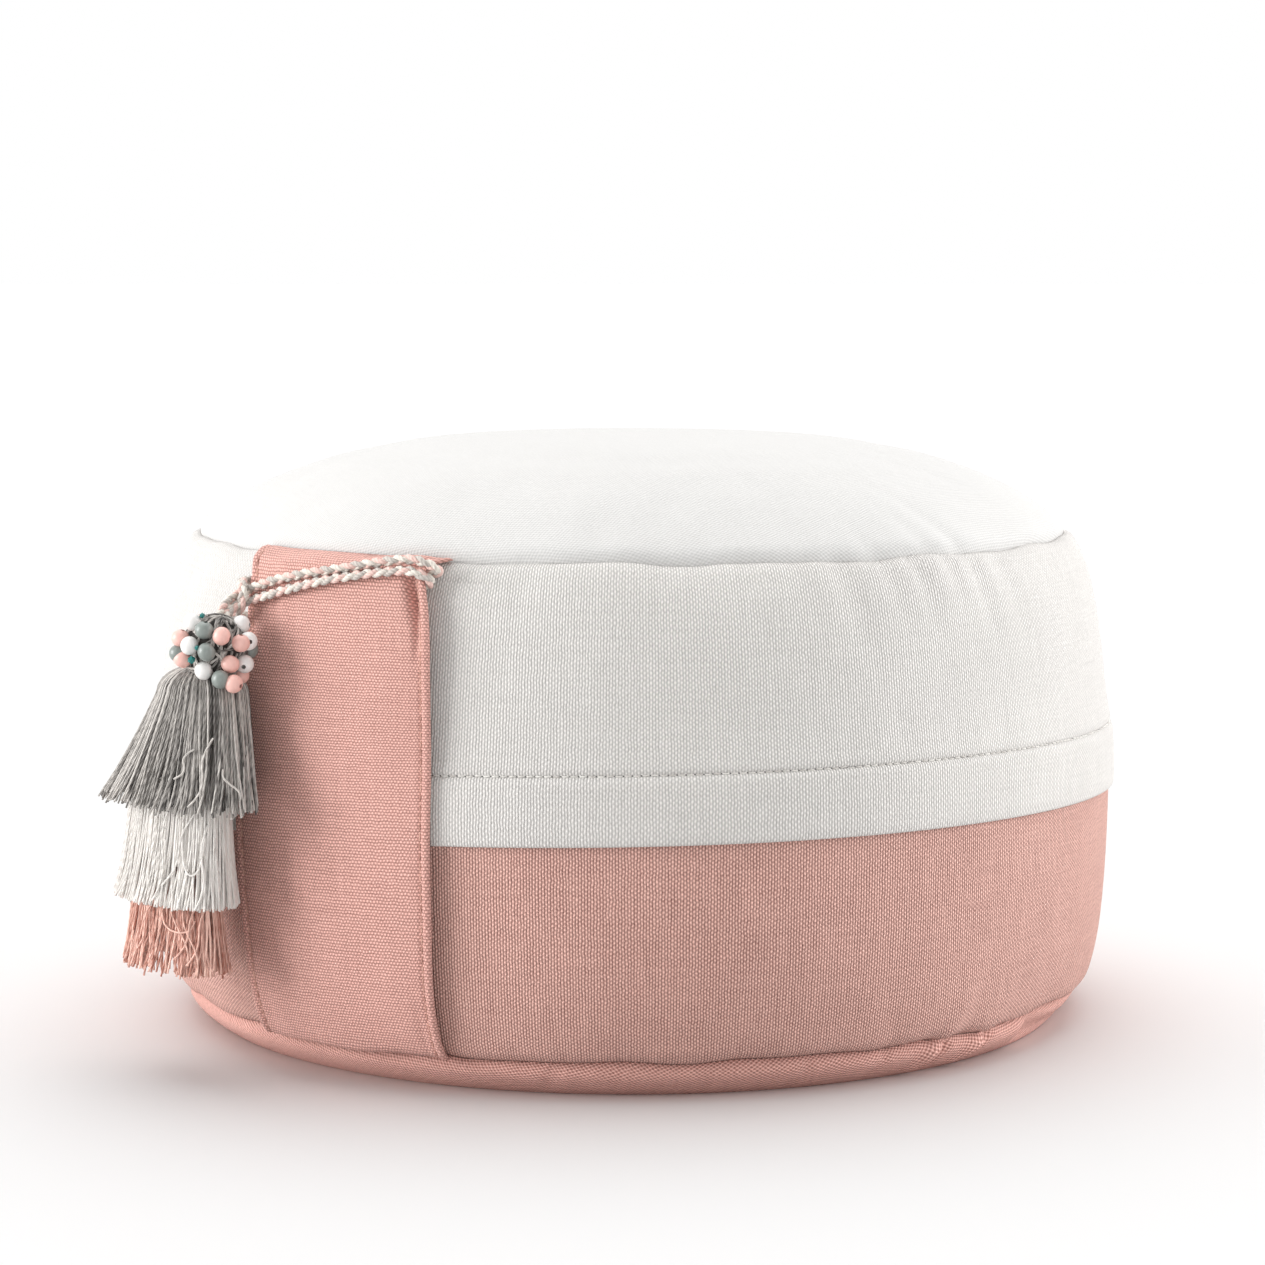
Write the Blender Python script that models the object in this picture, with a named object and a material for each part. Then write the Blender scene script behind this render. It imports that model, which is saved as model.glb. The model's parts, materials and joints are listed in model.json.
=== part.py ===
"""Round meditation cushion: a filled body in cloth panels, a handle strap and a tiered tassel.

Lengths are millimetres and become metres as each mesh is finished. +Z is up, the cushion stands on
z = 0 and its middle is the Z axis. Azimuths are degrees round Z, from the front (-Y) towards +X.
"""

import math
import random

import bmesh
import bpy
from mathutils import Matrix, Vector

MM = 0.001

# Driving dimensions.
HEIGHT = 205.9
BASE_SEAM = 10.9
TOP_SEAM = 173.8
TOP_SEAM_RADIUS = 157.0
FLAT_RADIUS = 153.2
HEM_EDGE = 78.5
HEM_STITCH = 101.0
CLOTH = 2.0
GAP = 0.3
AROUND = 48

# The cushion's outer cloth surface, with its cover at rest.
SIDE = (  # height, radius
    (10.9, 163.8),
    (16.5, 166.6),
    (32.9, 170.0),
    (57.7, 172.0),
    (86.5, 172.4),
    (115.3, 170.8),
    (140.0, 168.2),
    (160.6, 163.6),
    (173.8, 157.0),
)
CROWN = (  # radius, height
    (0.0, 205.9),
    (68.0, 203.8),
    (106.0, 198.7),
    (134.2, 189.4),
    (149.0, 180.4),
    (157.0, 173.8),
)
BASE_TURN = (  # radius, height
    (153.2, 0.0),
    (156.8, 2.5),
    (160.4, 5.9),
    (163.3, 10.3),
)

# A seam draws the cloth in by SEAM_DEPTH, and lets go of it over SEAM_REACH.
SEAM_DEPTH = 2.0
SEAM_REACH = 3.5

# The upper cover sits a little askew: its hem climbs to the front and to the right.
HEM_CLIMB_X = 0.0189
HEM_CLIMB_Y = -0.037
HEM_CLIMB_REACH = 40.0

# Cosine waves round the cushion: cycles, amplitude, phase.
SAG = ((2, 0.7, 0.6), (3, 0.5, 2.1), (5, 0.3, 4.0))
TOP_PUCKERS = ((9, 0.7, 0.4), (14, 0.35, 2.0))
BASE_PUCKERS = ((8, 0.5, 1.0), (13, 0.3, 3.3))
PUCKER_REACH = 17.0

# Profiles in height and distance out from the cushion's outer surface.
BODY_SIDE = (
    (11.3, 0.0),
    (13.5, 0.0),
    (19.0, 0.0),
    (36.0, 0.0),
    (56.0, 0.0),
    (76.3, 0.0),
    (78.2, -1.6),
    (99.0, -1.6),
    (103.0, -2.3),
    (120.0, -2.3),
    (138.0, -2.3),
    (153.0, -2.3),
    (163.0, -2.3),
    (168.5, -2.3),
    (172.6, -2.3),
)
BAND_OUTSIDE = (
    (78.5, 0.9),
    (80.0, 1.8),
    (97.0, 1.8),
    (101.0, 0.5),
    (104.5, 0.6),
    (120.0, 0.0),
    (138.0, 0.0),
    (153.0, 0.0),
    (163.0, 0.0),
    (168.5, 0.0),
    (172.8, 0.0),
)
BAND_INSIDE = (
    (172.8, -2.0),
    (168.5, -2.0),
    (163.0, -2.0),
    (153.0, -2.0),
    (138.0, -2.0),
    (120.0, -2.0),
    (103.0, -2.0),
    (99.0, -1.3),
    (78.5, -1.3),
)
CROWN_RADII = (155.9, 153.0, 147.0, 136.0, 119.0, 95.0, 52.0)

# The handle strap is a doubled band of the body's cloth, caught in both seams.
STRAP_CLOTH = 2.4
STRAP_COLUMNS = 10
STRAP = (  # height, right azimuth, left azimuth, stand-off
    (12.2, -21.4, -47.2, 0.6),
    (14.8, -21.2, -46.9, 0.9),
    (20.0, -21.1, -46.5, 1.8),
    (34.0, -20.9, -46.6, 2.7),
    (58.0, -20.8, -46.9, 3.0),
    (78.0, -20.8, -47.3, 2.8),
    (92.0, -20.8, -47.3, 2.7),
    (104.0, -20.9, -47.2, 2.7),
    (124.0, -21.3, -46.8, 3.2),
    (138.0, -21.7, -46.7, 3.8),
    (148.0, -22.1, -46.8, 4.2),
    (156.0, -22.8, -47.3, 4.5),
    (162.5, -23.2, -47.8, 4.5),
    (167.0, -23.6, -49.4, 4.3),
    (170.0, -23.0, -50.6, 2.2),
    (172.3, -22.4, -51.6, 0.6),
)
STRAP_TUCK_HEIGHT = 141.0
STRAP_TUCK_REACH = 9.0
STRAP_TUCK_COLUMN = 0.9
STRAP_TUCK_DEPTH = 1.1

# The plaited cord is one loop, hitched round the strap: its two ends pass under the bight to the
# tassel's head.
CORD_RADIUS = 1.6
CORD_SIDES = 6
CORD_STEP = 2.9
CORD_PLAIT = 0.11
CORD_ROUTE = (  # azimuth, height, distance out
    (-43.9, 153.1, 24.2),
    (-45.0, 153.2, 20.4),
    (-46.4, 153.9, 16.6),
    (-47.4, 155.0, 13.0),
    (-47.2, 156.1, 10.2),
    (-45.9, 157.1, 9.3),
    (-41.5, 160.6, 9.4),
    (-36.0, 164.6, 9.7),
    (-30.8, 167.6, 9.8),
    (-27.0, 168.6, 9.8),
    (-24.3, 168.2, 10.0),
    (-22.4, 166.4, 8.9),
    (-21.5, 164.2, 5.6),
    (-22.8, 162.6, 2.6),
    (-26.0, 161.6, 2.4),
    (-34.0, 159.0, 2.4),
    (-42.0, 155.2, 2.4),
    (-46.8, 152.2, 2.6),
    (-48.4, 151.2, 5.0),
    (-48.2, 151.2, 8.6),
    (-47.0, 152.0, 11.4),
    (-46.0, 153.9, 12.7),
    (-45.6, 156.6, 13.0),
    (-45.7, 159.6, 13.0),
    (-46.4, 163.0, 12.6),
    (-48.2, 164.4, 9.8),
    (-49.3, 164.4, 5.8),
    (-48.2, 163.9, 2.8),
    (-45.0, 163.3, 2.4),
    (-38.0, 164.6, 2.4),
    (-30.0, 165.7, 2.4),
    (-23.4, 165.9, 2.5),
    (-21.7, 167.7, 4.9),
    (-21.6, 170.6, 8.0),
    (-22.8, 172.4, 9.6),
    (-25.0, 172.9, 10.0),
    (-28.5, 172.0, 10.0),
    (-33.7, 169.4, 9.9),
    (-38.0, 167.0, 9.9),
    (-42.1, 164.5, 9.7),
    (-45.0, 162.0, 9.3),
    (-46.6, 160.4, 9.5),
    (-47.9, 159.3, 11.4),
    (-48.0, 158.0, 14.6),
    (-47.0, 156.9, 18.2),
    (-45.7, 156.3, 22.4),
)

# The beads sit on an egg round the tassel's head, in the photo's order on its front.
BEAD_RADIUS = 3.05
EGG_AZIMUTH = -45.1
EGG_DISTANCE = 192.0
EGG_HEIGHT = 141.6
EGG_HALF = (11.6, 11.0, 11.6)
BEADS = (  # across, up
    (-6.8, 9.2),
    (-2.6, 7.0),
    (3.1, 5.2),
    (8.9, 2.6),
    (11.0, 3.0),
    (-10.8, 3.9),
    (-7.4, 2.0),
    (-1.6, 0.2),
    (-10.2, -2.6),
    (-11.6, -1.0),
    (-2.9, -6.0),
    (5.7, -3.9),
    (9.8, -4.4),
    (2.6, -9.4),
    (7.1, -10.4),
)
BEAD_FILL = 60
BEAD_APART = 6.0
SLEEVE_HALF = (11.4, 10.8, 11.4)

# Tassel tiers: where the strands start and end, and how wide the bundle is there.
GREY_HEAD = (  # share, rise
    (0.24, 23.8),
    (0.40, 22.6),
    (0.52, 18.4),
    (0.50, 11.0),
    (0.34, 5.5),
    (0.36, 2.6),
    (0.80, 1.0),
)
CREAM_STEM = ((0.15, 32.4), (0.15, 6.0), (0.80, 2.0))
SALMON_STEM = ((0.15, 27.2), (0.15, 6.0), (0.80, 2.0))
HEAD_CLEARANCE = 0.04
LOCK_ROWS = (0.86, 0.83, 0.70)
LOCK_GAP = 0.012
LOCK_TAPER = 0.8
TIP_UNEVEN = 0.035


def smooth_between(rows, at):
    """Value at `at` on the smooth curve through the table's rows."""
    last = len(rows) - 1
    if at <= rows[0][0]:
        return rows[0][1]
    if at >= rows[last][0]:
        return rows[last][1]
    low = max(i for i in range(last) if rows[i][0] <= at)

    def slope_at(i):
        before, after = max(i - 1, 0), min(i + 1, last)
        return (rows[after][1] - rows[before][1]) / (rows[after][0] - rows[before][0])

    span = rows[low + 1][0] - rows[low][0]
    t = (at - rows[low][0]) / span
    start = (2 * t**3 - 3 * t**2 + 1) * rows[low][1] + (t**3 - 2 * t**2 + t) * span * slope_at(low)
    end = (3 * t**2 - 2 * t**3) * rows[low + 1][1] + (t**3 - t**2) * span * slope_at(low + 1)
    return start + end


def lean_at(rows, at):
    """Slope of the smooth curve through the table's rows."""
    step = 0.5
    return (smooth_between(rows, at + step) - smooth_between(rows, at - step)) / (2 * step)


def waves(cosines, angle):
    return sum(size * math.cos(cycles * angle + phase) for cycles, size, phase in cosines)


def fade(distance, reach):
    return math.exp(-((distance / reach) ** 2))


def side_point(height, out):
    """Radius and height of a point this far out from the side's surface."""
    lean = lean_at(SIDE, height)
    out -= SEAM_DEPTH * (fade(height - BASE_SEAM, SEAM_REACH) + fade(height - TOP_SEAM, SEAM_REACH))
    length = math.hypot(1.0, lean)
    return smooth_between(SIDE, height) + out / length, height - out * lean / length


def crown_point(radius, out):
    """Radius and height of a point this far out from the crown's surface."""
    lean = lean_at(CROWN, radius)
    length = math.hypot(1.0, lean)
    out -= SEAM_DEPTH * fade((TOP_SEAM_RADIUS - radius) * length, SEAM_REACH)
    return radius - out * lean / length, smooth_between(CROWN, radius) + out / length


def base_point(radius, out):
    """Radius and height of a point this far out from the base's turned-up edge."""
    lean = lean_at(BASE_TURN, radius)
    length = math.hypot(1.0, lean)
    height = smooth_between(BASE_TURN, radius)
    out -= SEAM_DEPTH * fade(height - BASE_SEAM, SEAM_REACH)
    return radius + out * lean / length, height - out / length


def settle(point):
    """Where the cloth's sag, puckers and askew hem leave a point of the even, round cushion."""
    x, y, z = point
    angle = math.atan2(x, -y)
    away = Vector((x, y, z - HEIGHT / 2))
    if away.length < 1.0 or z < 3.0:
        return Vector(point)
    lifted = min((z - 3.0) / 20.0, 1.0)
    move = waves(SAG, angle) * math.sin(math.pi * z / HEIGHT)
    move += waves(TOP_PUCKERS, angle) * fade(z - TOP_SEAM, PUCKER_REACH)
    move += waves(BASE_PUCKERS, angle) * fade(z - BASE_SEAM - 8.0, PUCKER_REACH)
    climb = (HEM_CLIMB_X * x + HEM_CLIMB_Y * y) * fade(z - (HEM_EDGE + HEM_STITCH) / 2, HEM_CLIMB_REACH)
    return Vector(point) + away.normalized() * move * lifted + Vector((0.0, 0.0, climb))


def polar(azimuth, radius, height):
    angle = math.radians(azimuth)
    return Vector((radius * math.sin(angle), -radius * math.cos(angle), height))


def on_side(azimuth, height, out):
    """A point this far out from the settled side of the cushion."""
    radius, level = side_point(height, out)
    return settle(polar(azimuth, radius, level))


def beside(azimuth, height, out):
    """A point at this height, and this far out, level, from the settled side of the cushion."""
    return settle(polar(azimuth, smooth_between(SIDE, height) + out, height))


def fabric(name, colour, roughness=0.9):
    material = bpy.data.materials.new(name)
    material.use_nodes = True
    shader = material.node_tree.nodes["Principled BSDF"]
    shader.inputs["Base Color"].default_value = (*colour, 1.0)
    shader.inputs["Roughness"].default_value = roughness
    shader.inputs["Metallic"].default_value = 0.0
    material.diffuse_color = (*colour, 1.0)
    return material


def face_out(bm):
    """Turns a closed mesh's faces to point out of it."""
    bmesh.ops.recalc_face_normals(bm, faces=bm.faces)
    if bm.calc_volume(signed=True) < 0.0:
        bmesh.ops.reverse_faces(bm, faces=bm.faces)


def finish(name, bm, material, sharp=50.0):
    """Turns a mesh in millimetres into a named, smooth-shaded object in metres."""
    face_out(bm)
    bmesh.ops.scale(bm, vec=(MM, MM, MM), verts=bm.verts)
    mesh = bpy.data.meshes.new(name)
    bm.to_mesh(mesh)
    bm.free()
    mesh.materials.append(material)
    mesh.shade_smooth()
    mesh.set_sharp_from_angle(angle=math.radians(sharp))
    part = bpy.data.objects.new(name, mesh)
    bpy.context.scene.collection.objects.link(part)
    return part


def spun(name, profile, material, closed):
    """Spins a profile of (radius, height) rows round Z and settles it with the cushion."""
    bm = bmesh.new()
    verts = [bm.verts.new((radius, 0.0, height)) for radius, height in profile]
    pairs = list(zip(verts, verts[1:]))
    if closed:
        pairs.append((verts[-1], verts[0]))
    edges = [bm.edges.new(pair) for pair in pairs]
    bmesh.ops.spin(
        bm,
        geom=verts + edges,
        cent=(0.0, 0.0, 0.0),
        axis=(0.0, 0.0, 1.0),
        angle=math.tau,
        steps=AROUND,
        use_merge=True,
    )
    bmesh.ops.remove_doubles(bm, verts=bm.verts, dist=0.01)
    for vert in bm.verts:
        vert.co = settle(vert.co)
    return finish(name, bm, material)


def make_cushion_body(material):
    """The filled body: its lower side shows, and the cloth panels cover the rest."""
    under = -(CLOTH + GAP)
    profile = [(0.0, CLOTH + GAP), (FLAT_RADIUS - 1.5, CLOTH + GAP)]
    profile += [base_point(radius, under) for radius, height in BASE_TURN[1:]]
    profile += [side_point(height, out) for height, out in BODY_SIDE]
    profile += [crown_point(radius, under) for radius in CROWN_RADII]
    profile.append((0.0, HEIGHT - CLOTH - GAP))
    return spun("cushion_body", profile, material, closed=False)


def make_base_panel(material):
    """The disc under the cushion, with its edge turned up to the lower seam."""
    profile = [(0.0, 0.0), (FLAT_RADIUS, 0.0)]
    profile += [base_point(radius, 0.0) for radius, height in BASE_TURN[1:]]
    profile += [base_point(radius, -CLOTH) for radius, height in reversed(BASE_TURN[1:])]
    profile += [(FLAT_RADIUS - 1.2, CLOTH), (0.0, CLOTH)]
    return spun("base_panel", profile, material, closed=False)


def make_upper_band(material):
    """The white side band, whose folded hem stands proud of the body."""
    profile = [side_point(height, out) for height, out in BAND_OUTSIDE + BAND_INSIDE]
    return spun("upper_band", profile, material, closed=True)


def make_top_panel(material):
    """The crowned disc on top."""
    profile = [(0.0, HEIGHT)]
    profile += [crown_point(radius, 0.0) for radius in reversed(CROWN_RADII)]
    profile += [crown_point(radius, -CLOTH) for radius in CROWN_RADII]
    profile.append((0.0, HEIGHT - CLOTH))
    return spun("top_panel", profile, material, closed=False)


def make_handle_strap(material):
    """The strap: a grid laid on the side, tucked beside its right edge, then thickened outwards."""
    bm = bmesh.new()
    rows = len(STRAP) - 1
    bmesh.ops.create_grid(bm, x_segments=STRAP_COLUMNS, y_segments=rows, size=0.5)
    for vert in bm.verts:
        across = vert.co.x + 0.5
        height, right, left, stand = STRAP[round((vert.co.y + 0.5) * rows)]
        tuck = fade(across - STRAP_TUCK_COLUMN, 0.07) * fade(height - STRAP_TUCK_HEIGHT, STRAP_TUCK_REACH)
        azimuth = left + (right - left) * across
        vert.co = on_side(azimuth, height, stand - STRAP_TUCK_DEPTH * tuck)
    bmesh.ops.scale(bm, vec=(MM, MM, MM), verts=bm.verts)
    mesh = bpy.data.meshes.new("handle_strap")
    bm.to_mesh(mesh)
    bm.free()
    mesh.materials.append(material)
    mesh.shade_smooth()
    strap = bpy.data.objects.new("handle_strap", mesh)
    bpy.context.scene.collection.objects.link(strap)
    thicken = strap.modifiers.new("cloth", "SOLIDIFY")
    thicken.thickness = STRAP_CLOTH * MM
    thicken.offset = 1.0
    return strap


def catmull(points, per_span):
    """Points along the smooth curve through the given ones."""
    found = []
    for i in range(len(points) - 1):
        before, start, end = points[max(i - 1, 0)], points[i], points[i + 1]
        after = points[min(i + 2, len(points) - 1)]
        for step in range(per_span):
            t = step / per_span
            bend = 2 * start + (end - before) * t
            bend += (2 * before - 5 * start + 4 * end - after) * t**2
            bend += (3 * start - before - 3 * end + after) * t**3
            found.append(bend / 2)
    return found + [points[-1]]


def evenly(points, step):
    """The same curve with its points about `step` apart."""
    total = sum((b - a).length for a, b in zip(points, points[1:]))
    count = round(total / step)
    spaced, run, target = [points[0]], 0.0, total / count
    for a, b in zip(points, points[1:]):
        length = (b - a).length
        while run + length >= target * len(spaced) and len(spaced) < count:
            spaced.append(a.lerp(b, (target * len(spaced) - run) / length))
        run += length
    return spaced + [points[-1]]


def make_hang_loop(material):
    """The plaited cord: rings along its route, whose points rise and dip in turn."""
    route = evenly(catmull([beside(*row) for row in CORD_ROUTE], 12), CORD_STEP)
    bm = bmesh.new()
    side = (route[1] - route[0]).orthogonal().normalized()
    made = bmesh.ops.create_circle(bm, cap_ends=True, segments=CORD_SIDES, radius=CORD_RADIUS)
    ring = made["verts"]
    for i, centre in enumerate(route):
        along = (route[min(i + 1, len(route) - 1)] - route[max(i - 1, 0)]).normalized()
        side = (side - along * side.dot(along)).normalized()
        other = along.cross(side)
        if i:
            grown = bmesh.ops.extrude_edge_only(bm, edges=rim)
            ring = [g for g in grown["geom"] if isinstance(g, bmesh.types.BMVert)]
        for j, vert in enumerate(ring):
            turn = math.tau * j / CORD_SIDES
            radius = CORD_RADIUS * (1.0 - CORD_PLAIT * ((i + j) % 2) * 2)
            vert.co = centre + (side * math.cos(turn) + other * math.sin(turn)) * radius
        rim = [bm.edges.get((ring[j - 1], ring[j])) for j in range(CORD_SIDES)]
    bm.faces.new(ring)
    return finish("hang_loop", bm, material)


def ball(radius, location, detail):
    bm = bmesh.new()
    bmesh.ops.create_icosphere(bm, subdivisions=detail, radius=radius)
    bmesh.ops.translate(bm, vec=location, verts=bm.verts)
    return bm


def helper(name, bm):
    """A hidden mesh for a Boolean."""
    face_out(bm)
    bmesh.ops.scale(bm, vec=(MM, MM, MM), verts=bm.verts)
    mesh = bpy.data.meshes.new(name)
    bm.to_mesh(mesh)
    bm.free()
    tool = bpy.data.objects.new(name, mesh)
    bpy.context.scene.collection.objects.link(tool)
    tool.hide_render = True
    tool.display_type = "WIRE"
    return tool


def egg_depth(across, up):
    """How far towards the front the egg's surface lies at this place."""
    rest = 1.0 - (across / EGG_HALF[0]) ** 2 - (up / EGG_HALF[2]) ** 2
    return EGG_HALF[1] * math.sqrt(max(rest, 0.0))


def bead_places():
    """Bead centres from the egg's middle: the front ones first, then those that fill its back."""
    places = [Vector((across, -egg_depth(across, up), up)) for across, up in BEADS]
    for i in range(BEAD_FILL):
        up = 0.7 - 1.56 * (i + 0.5) / BEAD_FILL
        turn = i * math.pi * (3.0 - math.sqrt(5.0))
        level = math.sqrt(1.0 - up * up)
        unit = Vector((level * math.cos(turn), level * math.sin(turn), up))
        place = Vector(half * part for half, part in zip(EGG_HALF, unit))
        if all((place - other).length > BEAD_APART for other in places):
            places.append(place)
    return places


def make_bead_cluster(material):
    """The beads, fused to the net of thread that holds them round the tassel's head."""
    middle = polar(EGG_AZIMUTH, EGG_DISTANCE, EGG_HEIGHT)
    bm = bmesh.new()
    bmesh.ops.create_icosphere(bm, subdivisions=2, radius=1.0)
    bmesh.ops.scale(bm, vec=SLEEVE_HALF, verts=bm.verts)
    bmesh.ops.translate(bm, vec=middle, verts=bm.verts)
    cluster = finish("bead_cluster", bm, material)
    for i, place in enumerate(bead_places()):
        bead = helper(f"bead_tool_{i}", ball(BEAD_RADIUS, middle + place, 2))
        join = cluster.modifiers.new(f"bead_{i}", "BOOLEAN")
        join.operation = "UNION"
        join.object = bead
    room = bmesh.new()
    swollen = [(share + HEAD_CLEARANCE, rise + 0.4) for share, rise in GREY_HEAD]
    swollen.append((1.0 + HEAD_CLEARANCE, -3.0))
    build_stem(room, GREY_TIER, swollen, 24)
    hang(room, GREY_TIER)
    cut = cluster.modifiers.new("room_for_head", "BOOLEAN")
    cut.operation = "DIFFERENCE"
    cut.object = helper("head_tool", room)
    return cluster


def build_stem(bm, tier, rings, sides):
    """Draws rings of (share, rise) down from a lid in the tier's unit cylinder; returns the last face."""
    length = tier["root"][2] - tier["tip"][2]
    share, level = rings[0]
    bmesh.ops.create_circle(bm, cap_ends=True, segments=sides, radius=share)
    bmesh.ops.translate(bm, vec=(0.0, 0.0, level / length), verts=bm.verts)
    face = list(bm.faces)[0]
    for i, (next_share, next_level) in enumerate(rings[1:]):
        grown = bmesh.ops.extrude_face_region(bm, geom=[face], use_keep_orig=True)
        if i:
            bmesh.ops.delete(bm, geom=[face], context="FACES_ONLY")
        face = next(part for part in grown["geom"] if isinstance(part, bmesh.types.BMFace))
        bmesh.ops.scale(bm, vec=(next_share / share, next_share / share, 1.0), verts=face.verts)
        bmesh.ops.translate(bm, vec=(0.0, 0.0, (next_level - level) / length), verts=face.verts)
        share, level = next_share, next_level
    return face


def draw_lock(bm, face, reach, spans):
    """Draws one lock of yarn down from its root face."""
    for span in range(spans):
        grown = bmesh.ops.extrude_discrete_faces(bm, faces=[face])
        face = grown["faces"][0]
        bmesh.ops.translate(bm, vec=(0.0, 0.0, -reach / spans), verts=face.verts)
    bmesh.ops.scale(
        bm,
        vec=(LOCK_TAPER, LOCK_TAPER, 1.0),
        space=Matrix.Translation(-face.calc_center_median()),
        verts=face.verts,
    )


def make_tier(name, tier, stem, locks, seed, material):
    """One tier: a stem and collar, with a lock of yarn drawn down from each face of its rim.

    It is modelled in a unit cylinder, whose radius is a share of the bundle's width and whose depth
    below the collar is a share of the strands' length, and then hung in its place.
    """
    rng = random.Random(seed)
    bm = bmesh.new()
    lid = build_stem(bm, tier, (*stem, (1.0, 0.0)), locks)
    shares = (1.0, *LOCK_ROWS)
    rows = []
    for outer, inner in zip(shares, shares[1:]):
        depth = (outer - inner) * math.cos(math.pi / locks)
        rows.append(bmesh.ops.inset_region(bm, faces=[lid], thickness=depth)["faces"])
    roots = rows[0] + rows[2]
    bmesh.ops.inset_individual(bm, faces=roots, thickness=LOCK_GAP)
    for face in roots:
        draw_lock(bm, face, 1.0 + rng.uniform(-TIP_UNEVEN, TIP_UNEVEN), tier["spans"])
    hang(bm, tier)
    return finish(name, bm, material)


def hang(bm, tier):
    """Hangs what was modelled in the tier's unit cylinder in its place."""
    for vert in bm.verts:
        vert.co = hung(tier, *vert.co)


def hung(tier, across, out, rise):
    """Where a point of the tier's unit cylinder hangs."""
    drop = max(-rise, 0.0)
    spread = 0.3 * math.sin(math.pi * min(drop, 1.0) / 2) + 0.7 * drop
    lean = min(drop, 1.0) if rise <= 0.0 else -rise * tier["stem_lean"]
    root, tip = tier["root"], tier["tip"]
    azimuth = root[0] + (tip[0] - root[0]) * lean
    radius = root[1] + (tip[1] - root[1]) * lean
    height = root[2] + (root[2] - tip[2]) * rise
    half = [a + (b - a) * spread for a, b in zip(tier["root_half"], tier["tip_half"])]
    angle = math.radians(azimuth)
    along = Vector((math.cos(angle), math.sin(angle), 0.0))
    outward = Vector((math.sin(angle), -math.cos(angle), 0.0))
    return polar(azimuth, radius, height) + along * across * half[0] + outward * out * half[1]


GREY_TIER = {
    "root": (-46.2, 192.0, 127.2),
    "root_half": (15.5, 12.0),
    "tip": (-50.4, 197.2, 89.5),
    "tip_half": (36.0, 17.6),
    "spans": 3,
    "stem_lean": 0.55,
}
CREAM_TIER = {
    "root": (-49.8, 196.7, 94.5),
    "root_half": (21.6, 10.0),
    "tip": (-50.9, 196.5, 59.5),
    "tip_half": (31.0, 15.6),
    "spans": 2,
    "stem_lean": 3.6,
}
SALMON_TIER = {
    "root": (-50.6, 196.2, 67.0),
    "root_half": (18.5, 8.8),
    "tip": (-50.8, 196.0, 35.5),
    "tip_half": (27.0, 14.0),
    "spans": 2,
    "stem_lean": 3.5,
}


def main():
    for old in list(bpy.data.objects):
        bpy.data.objects.remove(old, do_unlink=True)
    pink = fabric("pink_canvas", (0.62, 0.335, 0.275))
    white = fabric("white_canvas", (0.78, 0.76, 0.73))
    plait = fabric("plaited_cord", (0.66, 0.56, 0.52))
    wood = fabric("painted_wood", (0.72, 0.55, 0.50), roughness=0.5)
    grey = fabric("grey_yarn", (0.32, 0.30, 0.28))
    cream = fabric("cream_yarn", (0.70, 0.66, 0.61))
    salmon = fabric("salmon_yarn", (0.68, 0.30, 0.20))
    make_cushion_body(pink)
    make_base_panel(pink)
    make_upper_band(white)
    make_top_panel(white)
    make_handle_strap(pink)
    make_hang_loop(plait)
    make_bead_cluster(wood)
    make_tier("tier_grey", GREY_TIER, GREY_HEAD, 29, 11, grey)
    make_tier("tier_cream", CREAM_TIER, CREAM_STEM, 26, 12, cream)
    make_tier("tier_salmon", SALMON_TIER, SALMON_STEM, 24, 13, salmon)


main()
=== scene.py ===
"""The looks of a round meditation cushion: canvas panels, a handle strap and a tiered tassel.

Shapes are worked out in millimetres and become metres as each mesh is finished. The cushion stands on
z = 0 and its middle is the Z axis. Azimuths are degrees round Z, from the front (-Y) towards +X.
"""

from __future__ import annotations

import json
import logging
import math
from dataclasses import dataclass
from enum import Enum
from functools import partial
from typing import Callable, Sequence

import bmesh
import bpy
import numpy as np
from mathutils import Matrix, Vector
from mathutils.kdtree import KDTree

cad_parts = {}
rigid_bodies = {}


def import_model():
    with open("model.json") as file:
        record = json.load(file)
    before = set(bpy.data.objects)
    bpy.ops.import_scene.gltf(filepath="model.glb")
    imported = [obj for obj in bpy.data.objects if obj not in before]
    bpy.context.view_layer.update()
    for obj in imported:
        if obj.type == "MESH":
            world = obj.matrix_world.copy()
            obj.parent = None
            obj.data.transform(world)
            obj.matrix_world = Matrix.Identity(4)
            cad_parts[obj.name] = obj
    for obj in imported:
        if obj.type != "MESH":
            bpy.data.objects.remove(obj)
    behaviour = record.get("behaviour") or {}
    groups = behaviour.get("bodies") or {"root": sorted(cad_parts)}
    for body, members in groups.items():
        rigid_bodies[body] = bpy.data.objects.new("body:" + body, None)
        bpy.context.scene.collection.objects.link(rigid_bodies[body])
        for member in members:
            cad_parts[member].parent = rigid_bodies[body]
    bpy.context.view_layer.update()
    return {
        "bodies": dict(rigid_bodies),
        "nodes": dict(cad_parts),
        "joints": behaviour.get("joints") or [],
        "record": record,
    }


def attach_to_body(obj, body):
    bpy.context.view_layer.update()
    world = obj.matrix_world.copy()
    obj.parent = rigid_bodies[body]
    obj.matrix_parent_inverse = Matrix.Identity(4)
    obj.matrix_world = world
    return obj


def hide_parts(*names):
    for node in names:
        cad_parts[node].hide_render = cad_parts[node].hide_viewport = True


LOG = logging.getLogger("cushion")
MM = 0.001
Array = np.ndarray
Rows = Sequence[tuple[float, float]]
Colour = tuple[float, float, float]
Place = tuple[float, float, float]
Socket = bpy.types.NodeSocket


class Zone(Enum):
    """The stretch of the cushion's surface that a crease lies on."""

    SIDE = "side"
    CROWN = "crown"
    BASE = "base"


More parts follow.
